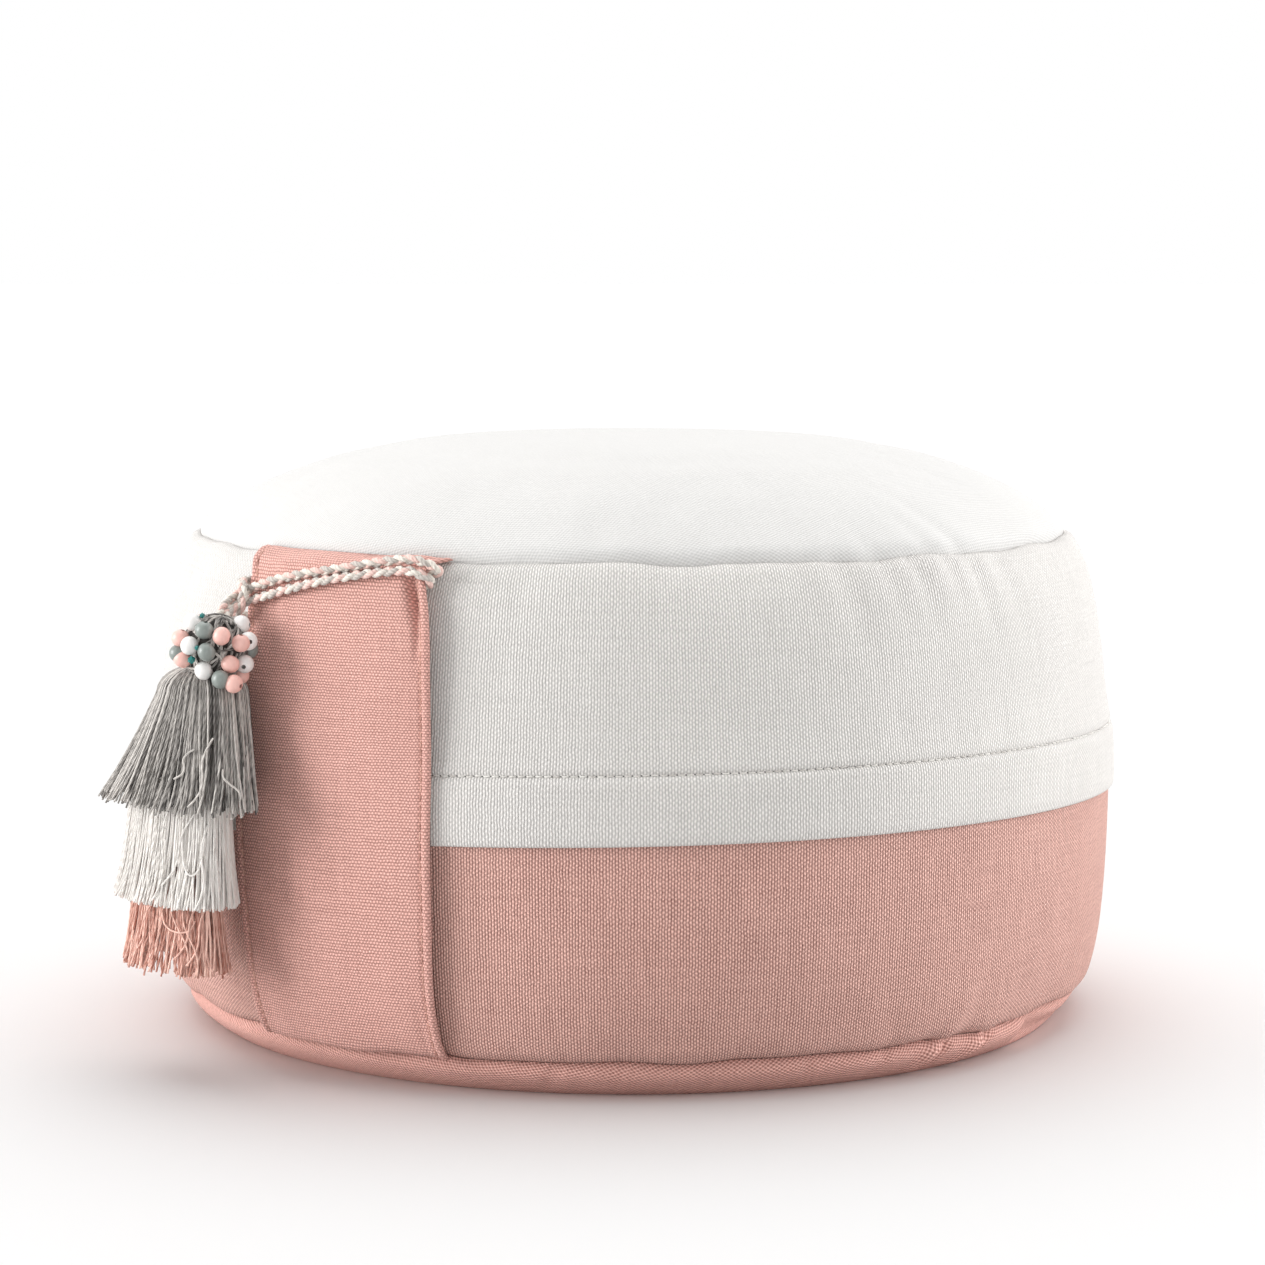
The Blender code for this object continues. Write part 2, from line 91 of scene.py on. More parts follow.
class Profile:
    """A smooth curve through a table's rows, read off a fine list of points."""

    def __init__(self, rows: Rows | Array) -> None:
        """Works the curve out.

        Args:
            rows: pairs of place and value, in rising order of place.
        """
        place, value = np.array(rows, float).T
        slope = np.empty_like(value)
        slope[1:-1] = (value[2:] - value[:-2]) / (place[2:] - place[:-2])
        slope[0] = (value[1] - value[0]) / (place[1] - place[0])
        slope[-1] = (value[-1] - value[-2]) / (place[-1] - place[-2])
        self.place = np.linspace(place[0], place[-1], 3000)
        low = np.clip(np.searchsorted(place, self.place, side="right") - 1, 0, len(place) - 2)
        span = place[low + 1] - place[low]
        t = (self.place - place[low]) / span
        start = (2 * t**3 - 3 * t**2 + 1) * value[low] + (t**3 - 2 * t**2 + t) * span * slope[low]
        end = (3 * t**2 - 2 * t**3) * value[low + 1] + (t**3 - t**2) * span * slope[low + 1]
        self.value = start + end
        self.slope = np.gradient(self.value, self.place)

    def read(self, place: Array | float) -> Array:
        """The curve's value at each place."""
        return np.interp(place, self.place, self.value)

    def lean(self, place: Array | float) -> Array:
        """The curve's slope at each place."""
        return np.interp(place, self.place, self.slope)


def fade(distance: Array, reach: float) -> Array:
    """A soft fall from 1 to 0 over about twice the reach."""
    return np.exp(-((distance / reach) ** 2))


def polar(azimuth: Array, radius: Array, height: Array) -> Array:
    """Points from their places round the Z axis.

    Args:
        azimuth: degrees from the front, towards +X.
        radius: distances from the Z axis.
        height: heights over the floor.

    Returns:
        The points, with X, Y and Z along the last axis.
    """
    angle = np.radians(np.asarray(azimuth, float))
    parts = np.broadcast_arrays(radius * np.sin(angle), -radius * np.cos(angle), height)
    return np.stack(parts, axis=-1)


@dataclass(frozen=True)
class Crease:
    """A soft ridge, or with a negative depth a trough, from one point of the cloth to another.

    A point is an azimuth and a level: its height on the side, or its radius on the crown and the base.
    """

    zone: Zone
    start: tuple[float, float]
    end: tuple[float, float]
    width: float
    depth: float


CREASES = (
    # Puckers that run down from the top seam.
    Crease(Zone.SIDE, (3.0, 172.0), (3.6, 150.0), 4.0, -0.8),
    Crease(Zone.SIDE, (7.5, 172.0), (8.4, 158.0), 3.0, -0.8),
    Crease(Zone.SIDE, (13.0, 172.0), (14.0, 146.0), 4.6, -1.0),
    Crease(Zone.SIDE, (19.0, 172.0), (20.0, 156.0), 3.4, -0.9),
    Crease(Zone.SIDE, (25.0, 172.0), (27.0, 140.0), 5.0, -1.3),
    Crease(Zone.SIDE, (31.0, 172.0), (32.5, 154.0), 3.2, -1.1),
    Crease(Zone.SIDE, (35.2, 171.5), (36.6, 150.0), 2.8, -1.5),
    Crease(Zone.SIDE, (38.2, 171.5), (38.8, 156.0), 2.4, 0.7),
    Crease(Zone.SIDE, (40.4, 171.0), (41.2, 158.0), 2.6, -1.2),
    Crease(Zone.SIDE, (44.6, 168.0), (46.0, 146.0), 3.2, -1.4),
    Crease(Zone.SIDE, (50.0, 168.0), (52.0, 140.0), 4.5, -0.9),
    Crease(Zone.SIDE, (-12.0, 172.0), (-13.5, 152.0), 5.0, -0.5),
    # Puckers that run up from the seam onto the crown.
    Crease(Zone.CROWN, (38.0, 156.0), (36.5, 138.0), 3.2, -0.9),
    Crease(Zone.CROWN, (43.5, 156.0), (41.0, 134.0), 3.2, -1.1),
    Crease(Zone.CROWN, (30.0, 156.0), (29.0, 144.0), 3.0, -0.6),
    Crease(Zone.CROWN, (21.0, 156.0), (20.0, 142.0), 3.4, -0.5),
    Crease(Zone.CROWN, (8.0, 156.0), (8.0, 146.0), 3.0, -0.4),
    Crease(Zone.CROWN, (-4.0, 156.0), (-5.0, 144.0), 3.4, -0.4),
    Crease(Zone.CROWN, (-62.0, 156.0), (-60.0, 138.0), 3.6, -0.7),
    Crease(Zone.CROWN, (96.0, 156.0), (95.0, 136.0), 3.6, -0.8),
    Crease(Zone.CROWN, (132.0, 156.0), (134.0, 140.0), 3.2, -0.7),
    Crease(Zone.CROWN, (171.0, 156.0), (170.0, 138.0), 3.8, -0.8),
    Crease(Zone.CROWN, (-118.0, 156.0), (-120.0, 140.0), 3.4, -0.7),
    # Tucks of the base panel where it turns up to its seam.
    Crease(Zone.BASE, (38.4, 163.0), (34.6, 154.6), 2.3, 3.0),
    Crease(Zone.BASE, (40.2, 163.0), (36.6, 154.6), 1.7, -3.0),
    Crease(Zone.BASE, (45.8, 163.0), (41.6, 154.6), 2.3, 2.8),
    Crease(Zone.BASE, (47.8, 163.0), (43.8, 154.6), 1.7, -2.8),
    Crease(Zone.BASE, (31.0, 163.0), (28.4, 155.0), 1.6, -0.9),
    Crease(Zone.BASE, (21.0, 163.0), (18.6, 156.0), 1.8, -0.8),
    Crease(Zone.BASE, (9.0, 163.0), (7.6, 156.0), 2.0, -0.7),
    Crease(Zone.BASE, (-9.0, 163.0), (-10.4, 156.0), 2.0, -0.7),
    Crease(Zone.BASE, (58.0, 160.0), (78.0, 160.0), 6.0, -3.0),
    Crease(Zone.BASE, (68.0, 163.0), (66.0, 155.0), 2.0, -0.7),
    Crease(Zone.BASE, (110.0, 163.0), (112.0, 155.0), 2.0, -0.7),
    Crease(Zone.BASE, (-80.0, 163.0), (-82.0, 155.0), 2.0, -0.7),
    Crease(Zone.BASE, (-140.0, 163.0), (-138.0, 155.0), 2.0, -0.7),
    # The side cloth gathers a little above the bottom seam.
    Crease(Zone.SIDE, (31.0, 13.0), (30.0, 30.0), 4.0, -0.8),
    Crease(Zone.SIDE, (38.6, 12.0), (40.4, 26.0), 3.0, 1.2),
    Crease(Zone.SIDE, (42.4, 13.0), (44.0, 32.0), 3.6, -1.2),
    Crease(Zone.SIDE, (46.2, 12.0), (48.6, 24.0), 3.0, 1.0),
    Crease(Zone.SIDE, (12.0, 13.0), (11.0, 30.0), 6.0, -0.4),
    Crease(Zone.SIDE, (-4.0, 13.0), (-5.0, 28.0), 6.0, 0.4),
    Crease(Zone.SIDE, (-66.0, 13.0), (-64.0, 34.0), 6.0, -0.7),
)


class CushionForm:
    """The cushion's outer surface, with its seams, creases and lie. Every piece is placed by it."""

    HEIGHT = 205.9
    BASE_SEAM = 10.9
    TOP_SEAM = 173.8
    TOP_SEAM_RADIUS = 157.0
    FLAT_RADIUS = 153.2
    HEM_MIDDLE = 89.75
    SEAM_DEPTH = 2.1
    SEAM_REACH = 1.9
    PUCKER_REACH = 17.0
    CLIMB = (0.0189, -0.037)
    CLIMB_REACH = 40.0
    SIDE: Rows = (
        (10.9, 163.8),
        (16.5, 166.6),
        (32.9, 170.0),
        (57.7, 172.0),
        (86.5, 172.4),
        (115.3, 170.8),
        (140.0, 168.2),
        (160.6, 163.6),
        (173.8, 157.0),
    )
    CROWN: Rows = (
        (0.0, 205.9),
        (68.0, 203.8),
        (106.0, 198.7),
        (134.2, 189.4),
        (149.0, 180.4),
        (157.0, 173.8),
    )
    TURN: Rows = ((153.2, 0.0), (156.8, 2.5), (160.4, 5.9), (163.3, 10.3))
    SAG = ((2, 0.7, 0.6), (3, 0.5, 2.1), (5, 0.3, 4.0))
    TOP_PUCKERS = ((9, 0.7, 0.4), (14, 0.35, 2.0))
    BASE_PUCKERS = ((8, 0.5, 1.0), (13, 0.3, 3.3))
    BASE_PUCKER_RISE = 8.0
    SEAM_WANDER = ((17, 0.42, 1.2), (29, 0.3, 0.4))
    WANDER_REACH = 5.0
    RESTING = 3.0  # below this height the puckers are pressed flat
    RISING = 20.0  # and over this much more they come up to their full size
    CREASE_RESTING = 2.5
    CREASE_TAPER = 0.75

    def __init__(self) -> None:
        """Reads the tables and finds where each crease starts and ends."""
        self.side_profile = Profile(self.SIDE)
        self.crown_profile = Profile(self.CROWN)
        self.turn_profile = Profile(self.TURN)
        self.plump: Plumpness | None = None
        self.creases = [(self.raw(c.zone, *c.start), self.raw(c.zone, *c.end), c) for c in CREASES]

    def raw(self, zone: Zone, azimuth: float, level: float) -> Array:
        """A point of the even, round surface.

        Args:
            zone: the stretch of the surface that it lies on.
            azimuth: its azimuth.
            level: its height on the side, or its radius on the crown or the base.

        Returns:
            The point.
        """
        if zone is Zone.SIDE:
            return polar(azimuth, self.side_profile.read(level), level)
        profile = self.crown_profile if zone is Zone.CROWN else self.turn_profile
        return polar(azimuth, level, profile.read(level))

    def side_rows(self, rows: Rows) -> Array:
        """Radius and height of points of the side.

        Args:
            rows: pairs of height and distance out, square to the surface.

        Returns:
            An array with a row of radius and height for each.
        """
        height, out = np.array(rows, float).T
        lean = self.side_profile.lean(height)
        length = np.hypot(1.0, lean)
        for seam in (self.BASE_SEAM, self.TOP_SEAM):
            out = out - self.SEAM_DEPTH * fade(height - seam, self.SEAM_REACH)
        radius = self.side_profile.read(height) + out / length
        return np.stack([radius, height - out * lean / length], axis=1)

    def crown_rows(self, rows: Rows) -> Array:
        """Radius and height of points of the crown.

        Args:
            rows: pairs of radius and distance out, square to the surface.

        Returns:
            An array with a row of radius and height for each.
        """
        radius, out = np.array(rows, float).T
        lean = self.crown_profile.lean(radius)
        length = np.hypot(1.0, lean)
        out = out - self.SEAM_DEPTH * fade((self.TOP_SEAM_RADIUS - radius) * length, self.SEAM_REACH)
        height = self.crown_profile.read(radius) + out / length
        return np.stack([radius - out * lean / length, height], axis=1)

    def turn_rows(self, rows: Rows) -> Array:
        """Radius and height of points of the base's turned-up edge.

        Args:
            rows: pairs of radius and distance out, square to the surface.

        Returns:
            An array with a row of radius and height for each.
        """
        radius, out = np.array(rows, float).T
        lean = self.turn_profile.lean(radius)
        length = np.hypot(1.0, lean)
        height = self.turn_profile.read(radius)
        out = out - self.SEAM_DEPTH * fade(height - self.BASE_SEAM, self.SEAM_REACH)
        return np.stack([radius + out * lean / length, height - out / length], axis=1)

    def settle(self, points: Array) -> Array:
        """Moves points of the even, round form to where the sewn and filled cushion has them.

        Args:
            points: points of the even form, with X, Y and Z along the last axis.

        Returns:
            The points after sag, puckers, creases, the askew hem and the filling.
        """
        points = np.asarray(points, float)
        x, y, z = points[..., 0], points[..., 1], points[..., 2]
        angle = np.arctan2(x, -y)
        away = points - (0.0, 0.0, self.HEIGHT / 2)
        away /= np.maximum(np.linalg.norm(away, axis=-1, keepdims=True), 1.0)
        lifted = np.clip((z - self.RESTING) / self.RISING, 0.0, 1.0)
        move = self.waves(self.SAG, angle) * np.sin(math.pi * z / self.HEIGHT)
        move += self.waves(self.TOP_PUCKERS, angle) * fade(z - self.TOP_SEAM, self.PUCKER_REACH)
        low = z - self.BASE_SEAM - self.BASE_PUCKER_RISE
        move += self.waves(self.BASE_PUCKERS, angle) * fade(low, self.PUCKER_REACH)
        move *= lifted
        firm = np.clip(z / self.CREASE_RESTING, 0.0, 1.0)
        for start, end, crease in self.creases:
            span = end - start
            along = np.clip((points - start) @ span / (span @ span), 0.0, 1.0)
            distance = np.linalg.norm(points - start - along[..., None] * span, axis=-1)
            move += crease.depth * (1.0 - self.CREASE_TAPER * along) * fade(distance, crease.width) * firm
        climb = (self.CLIMB[0] * x + self.CLIMB[1] * y) * fade(z - self.HEM_MIDDLE, self.CLIMB_REACH)
        settled = points + away * move[..., None]
        near_base = fade(z - self.BASE_SEAM, self.WANDER_REACH)
        near_top = fade(z - self.TOP_SEAM, self.WANDER_REACH)
        settled[..., 2] += climb + self.waves(self.SEAM_WANDER, angle) * (near_base + near_top)
        if self.plump is not None:
            settled = settled + self.plump.move(settled)
        return settled

    @staticmethod
    def waves(cosines: Sequence[tuple[int, float, float]], angle: Array) -> Array:
        """A sum of cosine waves round the cushion, given as cycles, amplitude and phase."""
        return sum(size * np.cos(cycles * angle + phase) for cycles, size, phase in cosines)

    def on_side(self, azimuth: Array, height: Array, out: Array) -> Array:
        """Points over the settled side.

        Args:
            azimuth: their azimuths.
            height: the heights on the side that they lie over.
            out: how far out they lie, square to the side.

        Returns:
            The points.
        """
        azimuth, height, out = np.broadcast_arrays(azimuth, height, out)
        rows = self.side_rows(np.stack([height.ravel(), out.ravel()], axis=1))
        return self.settle(polar(azimuth.ravel(), rows[:, 0], rows[:, 1])).reshape(*azimuth.shape, 3)

    def beside(self, azimuth: Array, height: Array, out: Array) -> Array:
        """Points at these heights and this far out, level, from the settled side."""
        return self.settle(polar(azimuth, self.side_profile.read(height) + out, height))


class Plumpness:
    """How the filling swells the cover: the moves of a cloth simulation, read by nearness."""

    VOXEL = 6.0
    CAP = 1.4
    FRAMES = 20
    PRESSURE = 4.0
    FLOOR = 8.0
    RISING = 20.0
    SEAM_HOLD = 3.5
    SEAM_INSIDE = 140.0
    NEAREST = 6

    def __init__(self, solid: bpy.types.Object) -> None:
        """Runs the simulation on a copy of the solid and keeps its capped moves.

        Args:
            solid: the filled cushion's CAD object, which is left as it is.
        """
        blank = self.remeshed(solid)
        start = self.points_of(blank.data)
        self.pin_seams(blank, start)
        cloth = blank.modifiers.new("filling", "CLOTH")
        cloth.settings.use_pressure = True
        cloth.settings.uniform_pressure_force = self.PRESSURE
        cloth.settings.quality = 4
        cloth.settings.vertex_group_mass = "seams"
        cloth.settings.effector_weights.gravity = 0.0
        cloth.collision_settings.use_collision = False
        scene = bpy.context.scene
        for frame in range(1, self.FRAMES + 1):
            scene.frame_set(frame)
        graph = bpy.context.evaluated_depsgraph_get()
        swollen = bpy.data.meshes.new_from_object(blank.evaluated_get(graph))
        move = self.points_of(swollen) - start
        scene.frame_set(1)
        bpy.data.objects.remove(blank)
        bpy.data.meshes.remove(swollen)
        move -= np.median(np.linalg.norm(move, axis=1)) * self.outward(start)
        size = np.maximum(np.linalg.norm(move, axis=1, keepdims=True), 1e-6)
        move *= np.minimum(size, self.CAP) / size
        move *= np.clip((start[:, 2:] - self.FLOOR) / self.RISING, 0.0, 1.0)
        self.moves = move
        self.tree = KDTree(len(start))
        for i, point in enumerate(start):
            self.tree.insert(point, i)
        self.tree.balance()

    @staticmethod
    def outward(points: Array) -> Array:
        """Unit directions away from the cushion's middle."""
        away = points - (0.0, 0.0, CushionForm.HEIGHT / 2)
        return away / np.maximum(np.linalg.norm(away, axis=1, keepdims=True), 1.0)

    @staticmethod
    def points_of(mesh: bpy.types.Mesh) -> Array:
        """Reads a finished mesh.

        Args:
            mesh: the mesh, in metres.

        Returns:
            Its points, in millimetres.
        """
        points = np.empty(len(mesh.vertices) * 3)
        mesh.vertices.foreach_get("co", points)
        return points.reshape(-1, 3) / MM

    def remeshed(self, solid: bpy.types.Object) -> bpy.types.Object:
        """Copies the solid, welded and remeshed into even squares.

        Args:
            solid: the object to copy.

        Returns:
            The new object.
        """
        bm = bmesh.new()
        bm.from_mesh(solid.data)
        bmesh.ops.remove_doubles(bm, verts=bm.verts, dist=1e-5)
        mesh = bpy.data.meshes.new("filling_blank")
        bm.to_mesh(mesh)
        bm.free()
        blank = bpy.data.objects.new("filling_blank", mesh)
        bpy.context.scene.collection.objects.link(blank)
        grid = blank.modifiers.new("even_squares", "REMESH")
        grid.mode = "VOXEL"
        grid.voxel_size = self.VOXEL * MM
        graph = bpy.context.evaluated_depsgraph_get()
        even = bpy.data.meshes.new_from_object(blank.evaluated_get(graph))
        blank.modifiers.clear()
        blank.data = even
        return blank

    def pin_seams(self, blank: bpy.types.Object, points: Array) -> None:
        """Holds the cloth along both seams and under the cushion, so that it swells between them.

        Args:
            blank: the object that will be simulated.
            points: its points, in millimetres.
        """
        group = blank.vertex_groups.new(name="seams")
        height = points[:, 2]
        radius = np.hypot(points[:, 0], points[:, 1])
        seam = (np.abs(height - CushionForm.TOP_SEAM) < self.SEAM_HOLD) & (radius > self.SEAM_INSIDE)
        low = height < CushionForm.BASE_SEAM + 1.0
        group.add([int(i) for i in np.flatnonzero(seam | low)], 1.0, "REPLACE")

    def move(self, points: Array) -> Array:
        """Reads the swelling as a mean over the nearest simulated points.

        Args:
            points: the points to move.

        Returns:
            How far each moves.
        """
        flat = points.reshape(-1, 3)
        found = np.zeros_like(flat)
        for i, point in enumerate(flat):
            near = self.tree.find_n(point, self.NEAREST)
            weight = np.array([1.0 / (distance + 1.0) for _, _, distance in near])
            found[i] = weight @ self.moves[[index for _, index, _ in near]] / weight.sum()
        return found.reshape(points.shape)


class Shader:
    """A small hand for laying out a material's nodes."""

    def __init__(self, name: str) -> None:
        """Starts a material with its Principled shader, ready for links.

        Args:
            name: the material's name.
        """
        self.material = bpy.data.materials.new(name)
        self.material.use_nodes = True
        self.tree = self.material.node_tree
        self.surface = self.tree.nodes["Principled BSDF"]

    def node(self, kind: str, **settings: object) -> bpy.types.Node:
        """Adds a node.

        Args:
            kind: the node's type.
            settings: its own properties, by name.

        Returns:
            The node.
        """
        made = self.tree.nodes.new(kind)
        for name, value in settings.items():
            setattr(made, name, value)
        return made

    def put(self, socket: Socket, value: object) -> None:
        """Fills a socket.

        Args:
            socket: the input.
            value: another node's output to link, or a plain value.
        """
        if isinstance(value, Socket):
            self.tree.links.new(value, socket)
        else:
            socket.default_value = value

    def math(self, operation: str, first: object, second: object = 0.0, clamp: bool = False) -> Socket:
        """Adds a Math node.

        Args:
            operation: what it works out.
            first: its first input, a link or a number.
            second: its second input.
            clamp: whether the result is kept between 0 and 1.

        Returns:
            Its output.
        """
        made = self.node("ShaderNodeMath", operation=operation, use_clamp=clamp)
        self.put(made.inputs[0], first)
        self.put(made.inputs[1], second)
        return made.outputs[0]

    def noise(self, vector: object, scale: float, detail: float = 2.0) -> Socket:
        """Adds a Noise texture.

        Args:
            vector: where it is read.
            scale: how fine it is.
            detail: how many finer layers lie over it.

        Returns:
            Its value, about 0.5 on average.
        """
        made = self.node("ShaderNodeTexNoise")
        self.put(made.inputs["Vector"], vector)
        self.put(made.inputs["Scale"], scale)
        self.put(made.inputs["Detail"], detail)
        return made.outputs[0]

    def scaled(self, vector: object, factors: Place) -> Socket:
        """Multiplies a vector part by part.

        Args:
            vector: the vector.
            factors: the factor for each part.

        Returns:
            The product.
        """
        made = self.node("ShaderNodeVectorMath", operation="MULTIPLY")
        self.put(made.inputs[0], vector)
        self.put(made.inputs[1], factors)
        return made.outputs[0]

    def mix(self, factor: object, first: object, second: object) -> Socket:
        """Blends two colours.

        Args:
            factor: 0 for the first colour and 1 for the second.
            first: the first colour.
            second: the second colour.

        Returns:
            The blend.
        """
        made = self.node("ShaderNodeMix", data_type="RGBA")
        self.put(made.inputs[0], factor)
        self.put(made.inputs[6], first)
        self.put(made.inputs[7], second)
        return made.outputs[2]

    def bump(self, height: Socket, distance: float) -> None:
        """Raises the surface.

        Args:
            height: how high each place is, between 0 and 1.
            distance: how high 1 is, in millimetres.
        """
        made = self.node("ShaderNodeBump")
        self.put(made.inputs["Height"], height)
        self.put(made.inputs["Distance"], distance * MM)
        self.put(self.surface.inputs["Normal"], made.outputs[0])

    def constant(self, **values: float) -> None:
        """Sets the surface's own sockets. An underscore stands for a space in a socket's name."""
        for name, value in values.items():
            self.surface.inputs[name.replace("_", " ")].default_value = value


def opaque(colour: Colour) -> tuple[float, float, float, float]:
    """The colour with full cover."""
    return (*colour, 1.0)


def toned(colour: Colour, factor: float) -> tuple[float, float, float, float]:
    """The colour made lighter or darker."""
    return opaque(tuple(min(part * factor, 1.0) for part in colour))


@dataclass(frozen=True)
class Canvas:
    """Plain-weave cotton canvas, with painted shade in the weave's pits and painted light on its crests.
    One unit of the piece's UV map is one thread.
    """

    name: str
    colour: Colour
    # The next two: how dark the weave's pits are painted (painted shade) and how light its crests are
    # painted (painted light).
    pit_shade: float
    crest_light: float
    relief: float = 0.42
    rib: float = 0.0
    # The warm tint of the painted shade in the pits.
    pit_shade_tint: Colour = (1.0, 1.0, 1.0)

    DRIFT = (0.9, 0.9, 0.0)  # how many threads the lines wander
    RIB_LEVEL = 0.64  # what |sine| is on average
    STREAK = 0.035  # how little a streak changes along its thread
    # How strongly the weave paints shade into the pits and light onto the crests.
    WEAVE_SHADE_GAIN = 0.58
    UNEVEN = 0.42
    MOTTLE = 0.14

    def material(self) -> bpy.types.Material:
        """Threads over and under in turn, with painted shade in their pits and painted light on their
        crests, slubs, and a soft unevenness of the dye.

        Returns:
            The material.
        """
        shader = Shader(self.name)
        threads = shader.node("ShaderNodeUVMap", uv_map="threads").outputs[0]
        weave = self.weave(shader, threads)
        uneven = self.slubs(shader, threads)
        where = shader.node("ShaderNodeTexCoord").outputs["Object"]
        mottle = shader.math("SUBTRACT", shader.noise(where, 26.0, 3.0), 0.5)
        tone = shader.math("ADD", shader.math("MULTIPLY", weave, self.WEAVE_SHADE_GAIN), 0.5)
        tone = shader.math("ADD", tone, shader.math("MULTIPLY", uneven, self.UNEVEN))
        tone = shader.math("ADD", tone, shader.math("MULTIPLY", mottle, self.MOTTLE), clamp=True)
        # Painted shade and light: the pits get a darker, warm-tinted colour and the crests a lighter one;
        # slubs and mottle are the cloth's own tone.
        pit_shade = tuple(part * tint for part, tint in zip(self.colour, self.pit_shade_tint))
        dyed_and_shaded = shader.mix(tone, toned(pit_shade, self.pit_shade), toned(self.colour, self.crest_light))
        shader.put(shader.surface.inputs["Base Color"], dyed_and_shaded)
        height = shader.math("ADD", shader.math("MULTIPLY", weave, 0.5), 0.5)
        shader.bump(shader.math("ADD", height, shader.math("MULTIPLY", uneven, 0.3)), self.relief)
        shader.constant(Roughness=0.92, Sheen_Weight=0.1, Sheen_Roughness=0.6, Specular_IOR_Level=0.12)
        return shader.material

    def weave(self, shader: Shader, threads: Socket) -> Socket:
        """How high the threads stand at each place.

        Args:
            shader: the material being laid out.
            threads: the place, counted in threads.

        Returns:
            A height between -1 and 1.
        """
        drift = shader.node("ShaderNodeTexNoise")
        shader.put(drift.inputs["Vector"], threads)
        shader.put(drift.inputs["Scale"], 0.21)
        shader.put(drift.inputs["Detail"], 3.0)
        bent = shader.node("ShaderNodeVectorMath", operation="MULTIPLY_ADD")
        for socket, value in zip(bent.inputs, (drift.outputs["Color"], self.DRIFT, threads)):
            shader.put(socket, value)
        split = shader.node("ShaderNodeSeparateXYZ")
        shader.put(split.inputs[0], bent.outputs[0])
        across = shader.math("SINE", shader.math("MULTIPLY", split.outputs[0], math.pi))
        up = shader.math("SINE", shader.math("MULTIPLY", split.outputs[1], math.pi))
        checks = shader.math("MULTIPLY", shader.math("MULTIPLY", across, up), 1.0 - self.rib)
        ribs = shader.math("SUBTRACT", shader.math("ABSOLUTE", across), self.RIB_LEVEL)
        return shader.math("ADD", checks, shader.math("MULTIPLY", ribs, 2.0 * self.rib))

    def slubs(self, shader: Shader, threads: Socket) -> Socket:
        """How much thicker or thinner the threads are spun at each place.

        Args:
            shader: the material being laid out.
            threads: the place, counted in threads.

        Returns:
            A value about 0 on average.
        """
        warp = shader.noise(shader.scaled(threads, (0.9, self.STREAK, 1.0)), 1.0)
        weft = shader.noise(shader.scaled(threads, (self.STREAK, 0.9, 1.0)), 1.0)
        streaks = shader.math("MULTIPLY", shader.math("ADD", warp, weft), 0.55)
        flecks = shader.math("MULTIPLY", shader.noise(threads, 0.75, 3.0), 0.9)
        return shader.math("SUBTRACT", shader.math("ADD", streaks, flecks), 1.0)


@dataclass(frozen=True)
class YarnDyeAndPlyShade:
    """Twisted cotton yarn, with painted shade in the grooves between its plies. The piece's shade attribute
    tells its strands apart.
    """

    name: str
    dark: Colour
    light: Colour
    # How much shade is painted into the grooves between the plies.
    ply: float = 0.3
    plies: float = 2.0

    PLY_LEVEL = 0.6
    PATCH = 0.6
    RELIEF = 0.12

    def material(self) -> bpy.types.Material:
        """Each strand in its own shade, with its plies winding round it and painted shade in the grooves
        between them.

        Returns:
            The material.
        """
        shader = Shader(self.name)
        shade = shader.node("ShaderNodeAttribute", attribute_name="shade").outputs["Fac"]
        split = shader.node("ShaderNodeSeparateXYZ")
        shader.put(split.inputs[0], shader.node("ShaderNodeUVMap", uv_map="threads").outputs[0])
        along, around = split.outputs[0], split.outputs[1]
        winding = shader.math("ADD", shader.math("MULTIPLY", along, self.plies), around)
        ply = shader.math("ABSOLUTE", shader.math("SINE", shader.math("MULTIPLY", winding, math.pi)))
        where = shader.node("ShaderNodeTexCoord").outputs["Object"]
        patch = shader.math("SUBTRACT", shader.noise(where, 240.0, 3.0), 0.5)
        # Painted shade: darker where the plies dip, as shade falls in the grooves.
        wound = shader.math("MULTIPLY", shader.math("SUBTRACT", ply, self.PLY_LEVEL), self.ply)
        tone = shader.math("ADD", wound, shade)
        tone = shader.math("ADD", tone, shader.math("MULTIPLY", patch, self.PATCH), clamp=True)
        dyed_and_shaded = shader.mix(tone, opaque(self.dark), opaque(self.light))
        shader.put(shader.surface.inputs["Base Color"], dyed_and_shaded)
        shader.bump(ply, self.RELIEF)
        shader.constant(Roughness=0.95, Sheen_Weight=0.25, Sheen_Roughness=0.5, Specular_IOR_Level=0.2)
        return shader.material


@dataclass(frozen=True)
class BeadPaint:
    """Satin paint on wood, with the grain faintly showing."""

    name: str
    colour: Colour
    roughness: float = 0.42

    def material(self) -> bpy.types.Material:
        """Paint with a faint grain.

        Returns:
            The material.
        """
        shader = Shader(self.name)
        where = shader.node("ShaderNodeTexCoord").outputs["Object"]
        grain = shader.noise(shader.scaled(where, (900.0, 900.0, 240.0)), 1.0, 3.0)
        worn = shader.noise(where, 420.0, 2.0)
        grainy, patchy = shader.math("MULTIPLY", grain, 0.7), shader.math("MULTIPLY", worn, 0.3)
        tone = shader.math("ADD", grainy, patchy, clamp=True)
        painted = shader.mix(tone, toned(self.colour, 0.78), toned(self.colour, 1.12))
        shader.put(shader.surface.inputs["Base Color"], painted)
        shader.bump(grain, 0.01)
        shader.constant(Roughness=self.roughness, Coat_Weight=0.15, Coat_Roughness=0.3)
        return shader.material


# The warm tint of the painted shade in the weave's pits.
WARM_PIT_SHADE = (1.0, 0.76, 0.7)
PINK_CANVAS = Canvas("pink_canvas", (0.633, 0.365, 0.318), 0.36, 1.5, rib=0.45, pit_shade_tint=WARM_PIT_SHADE)
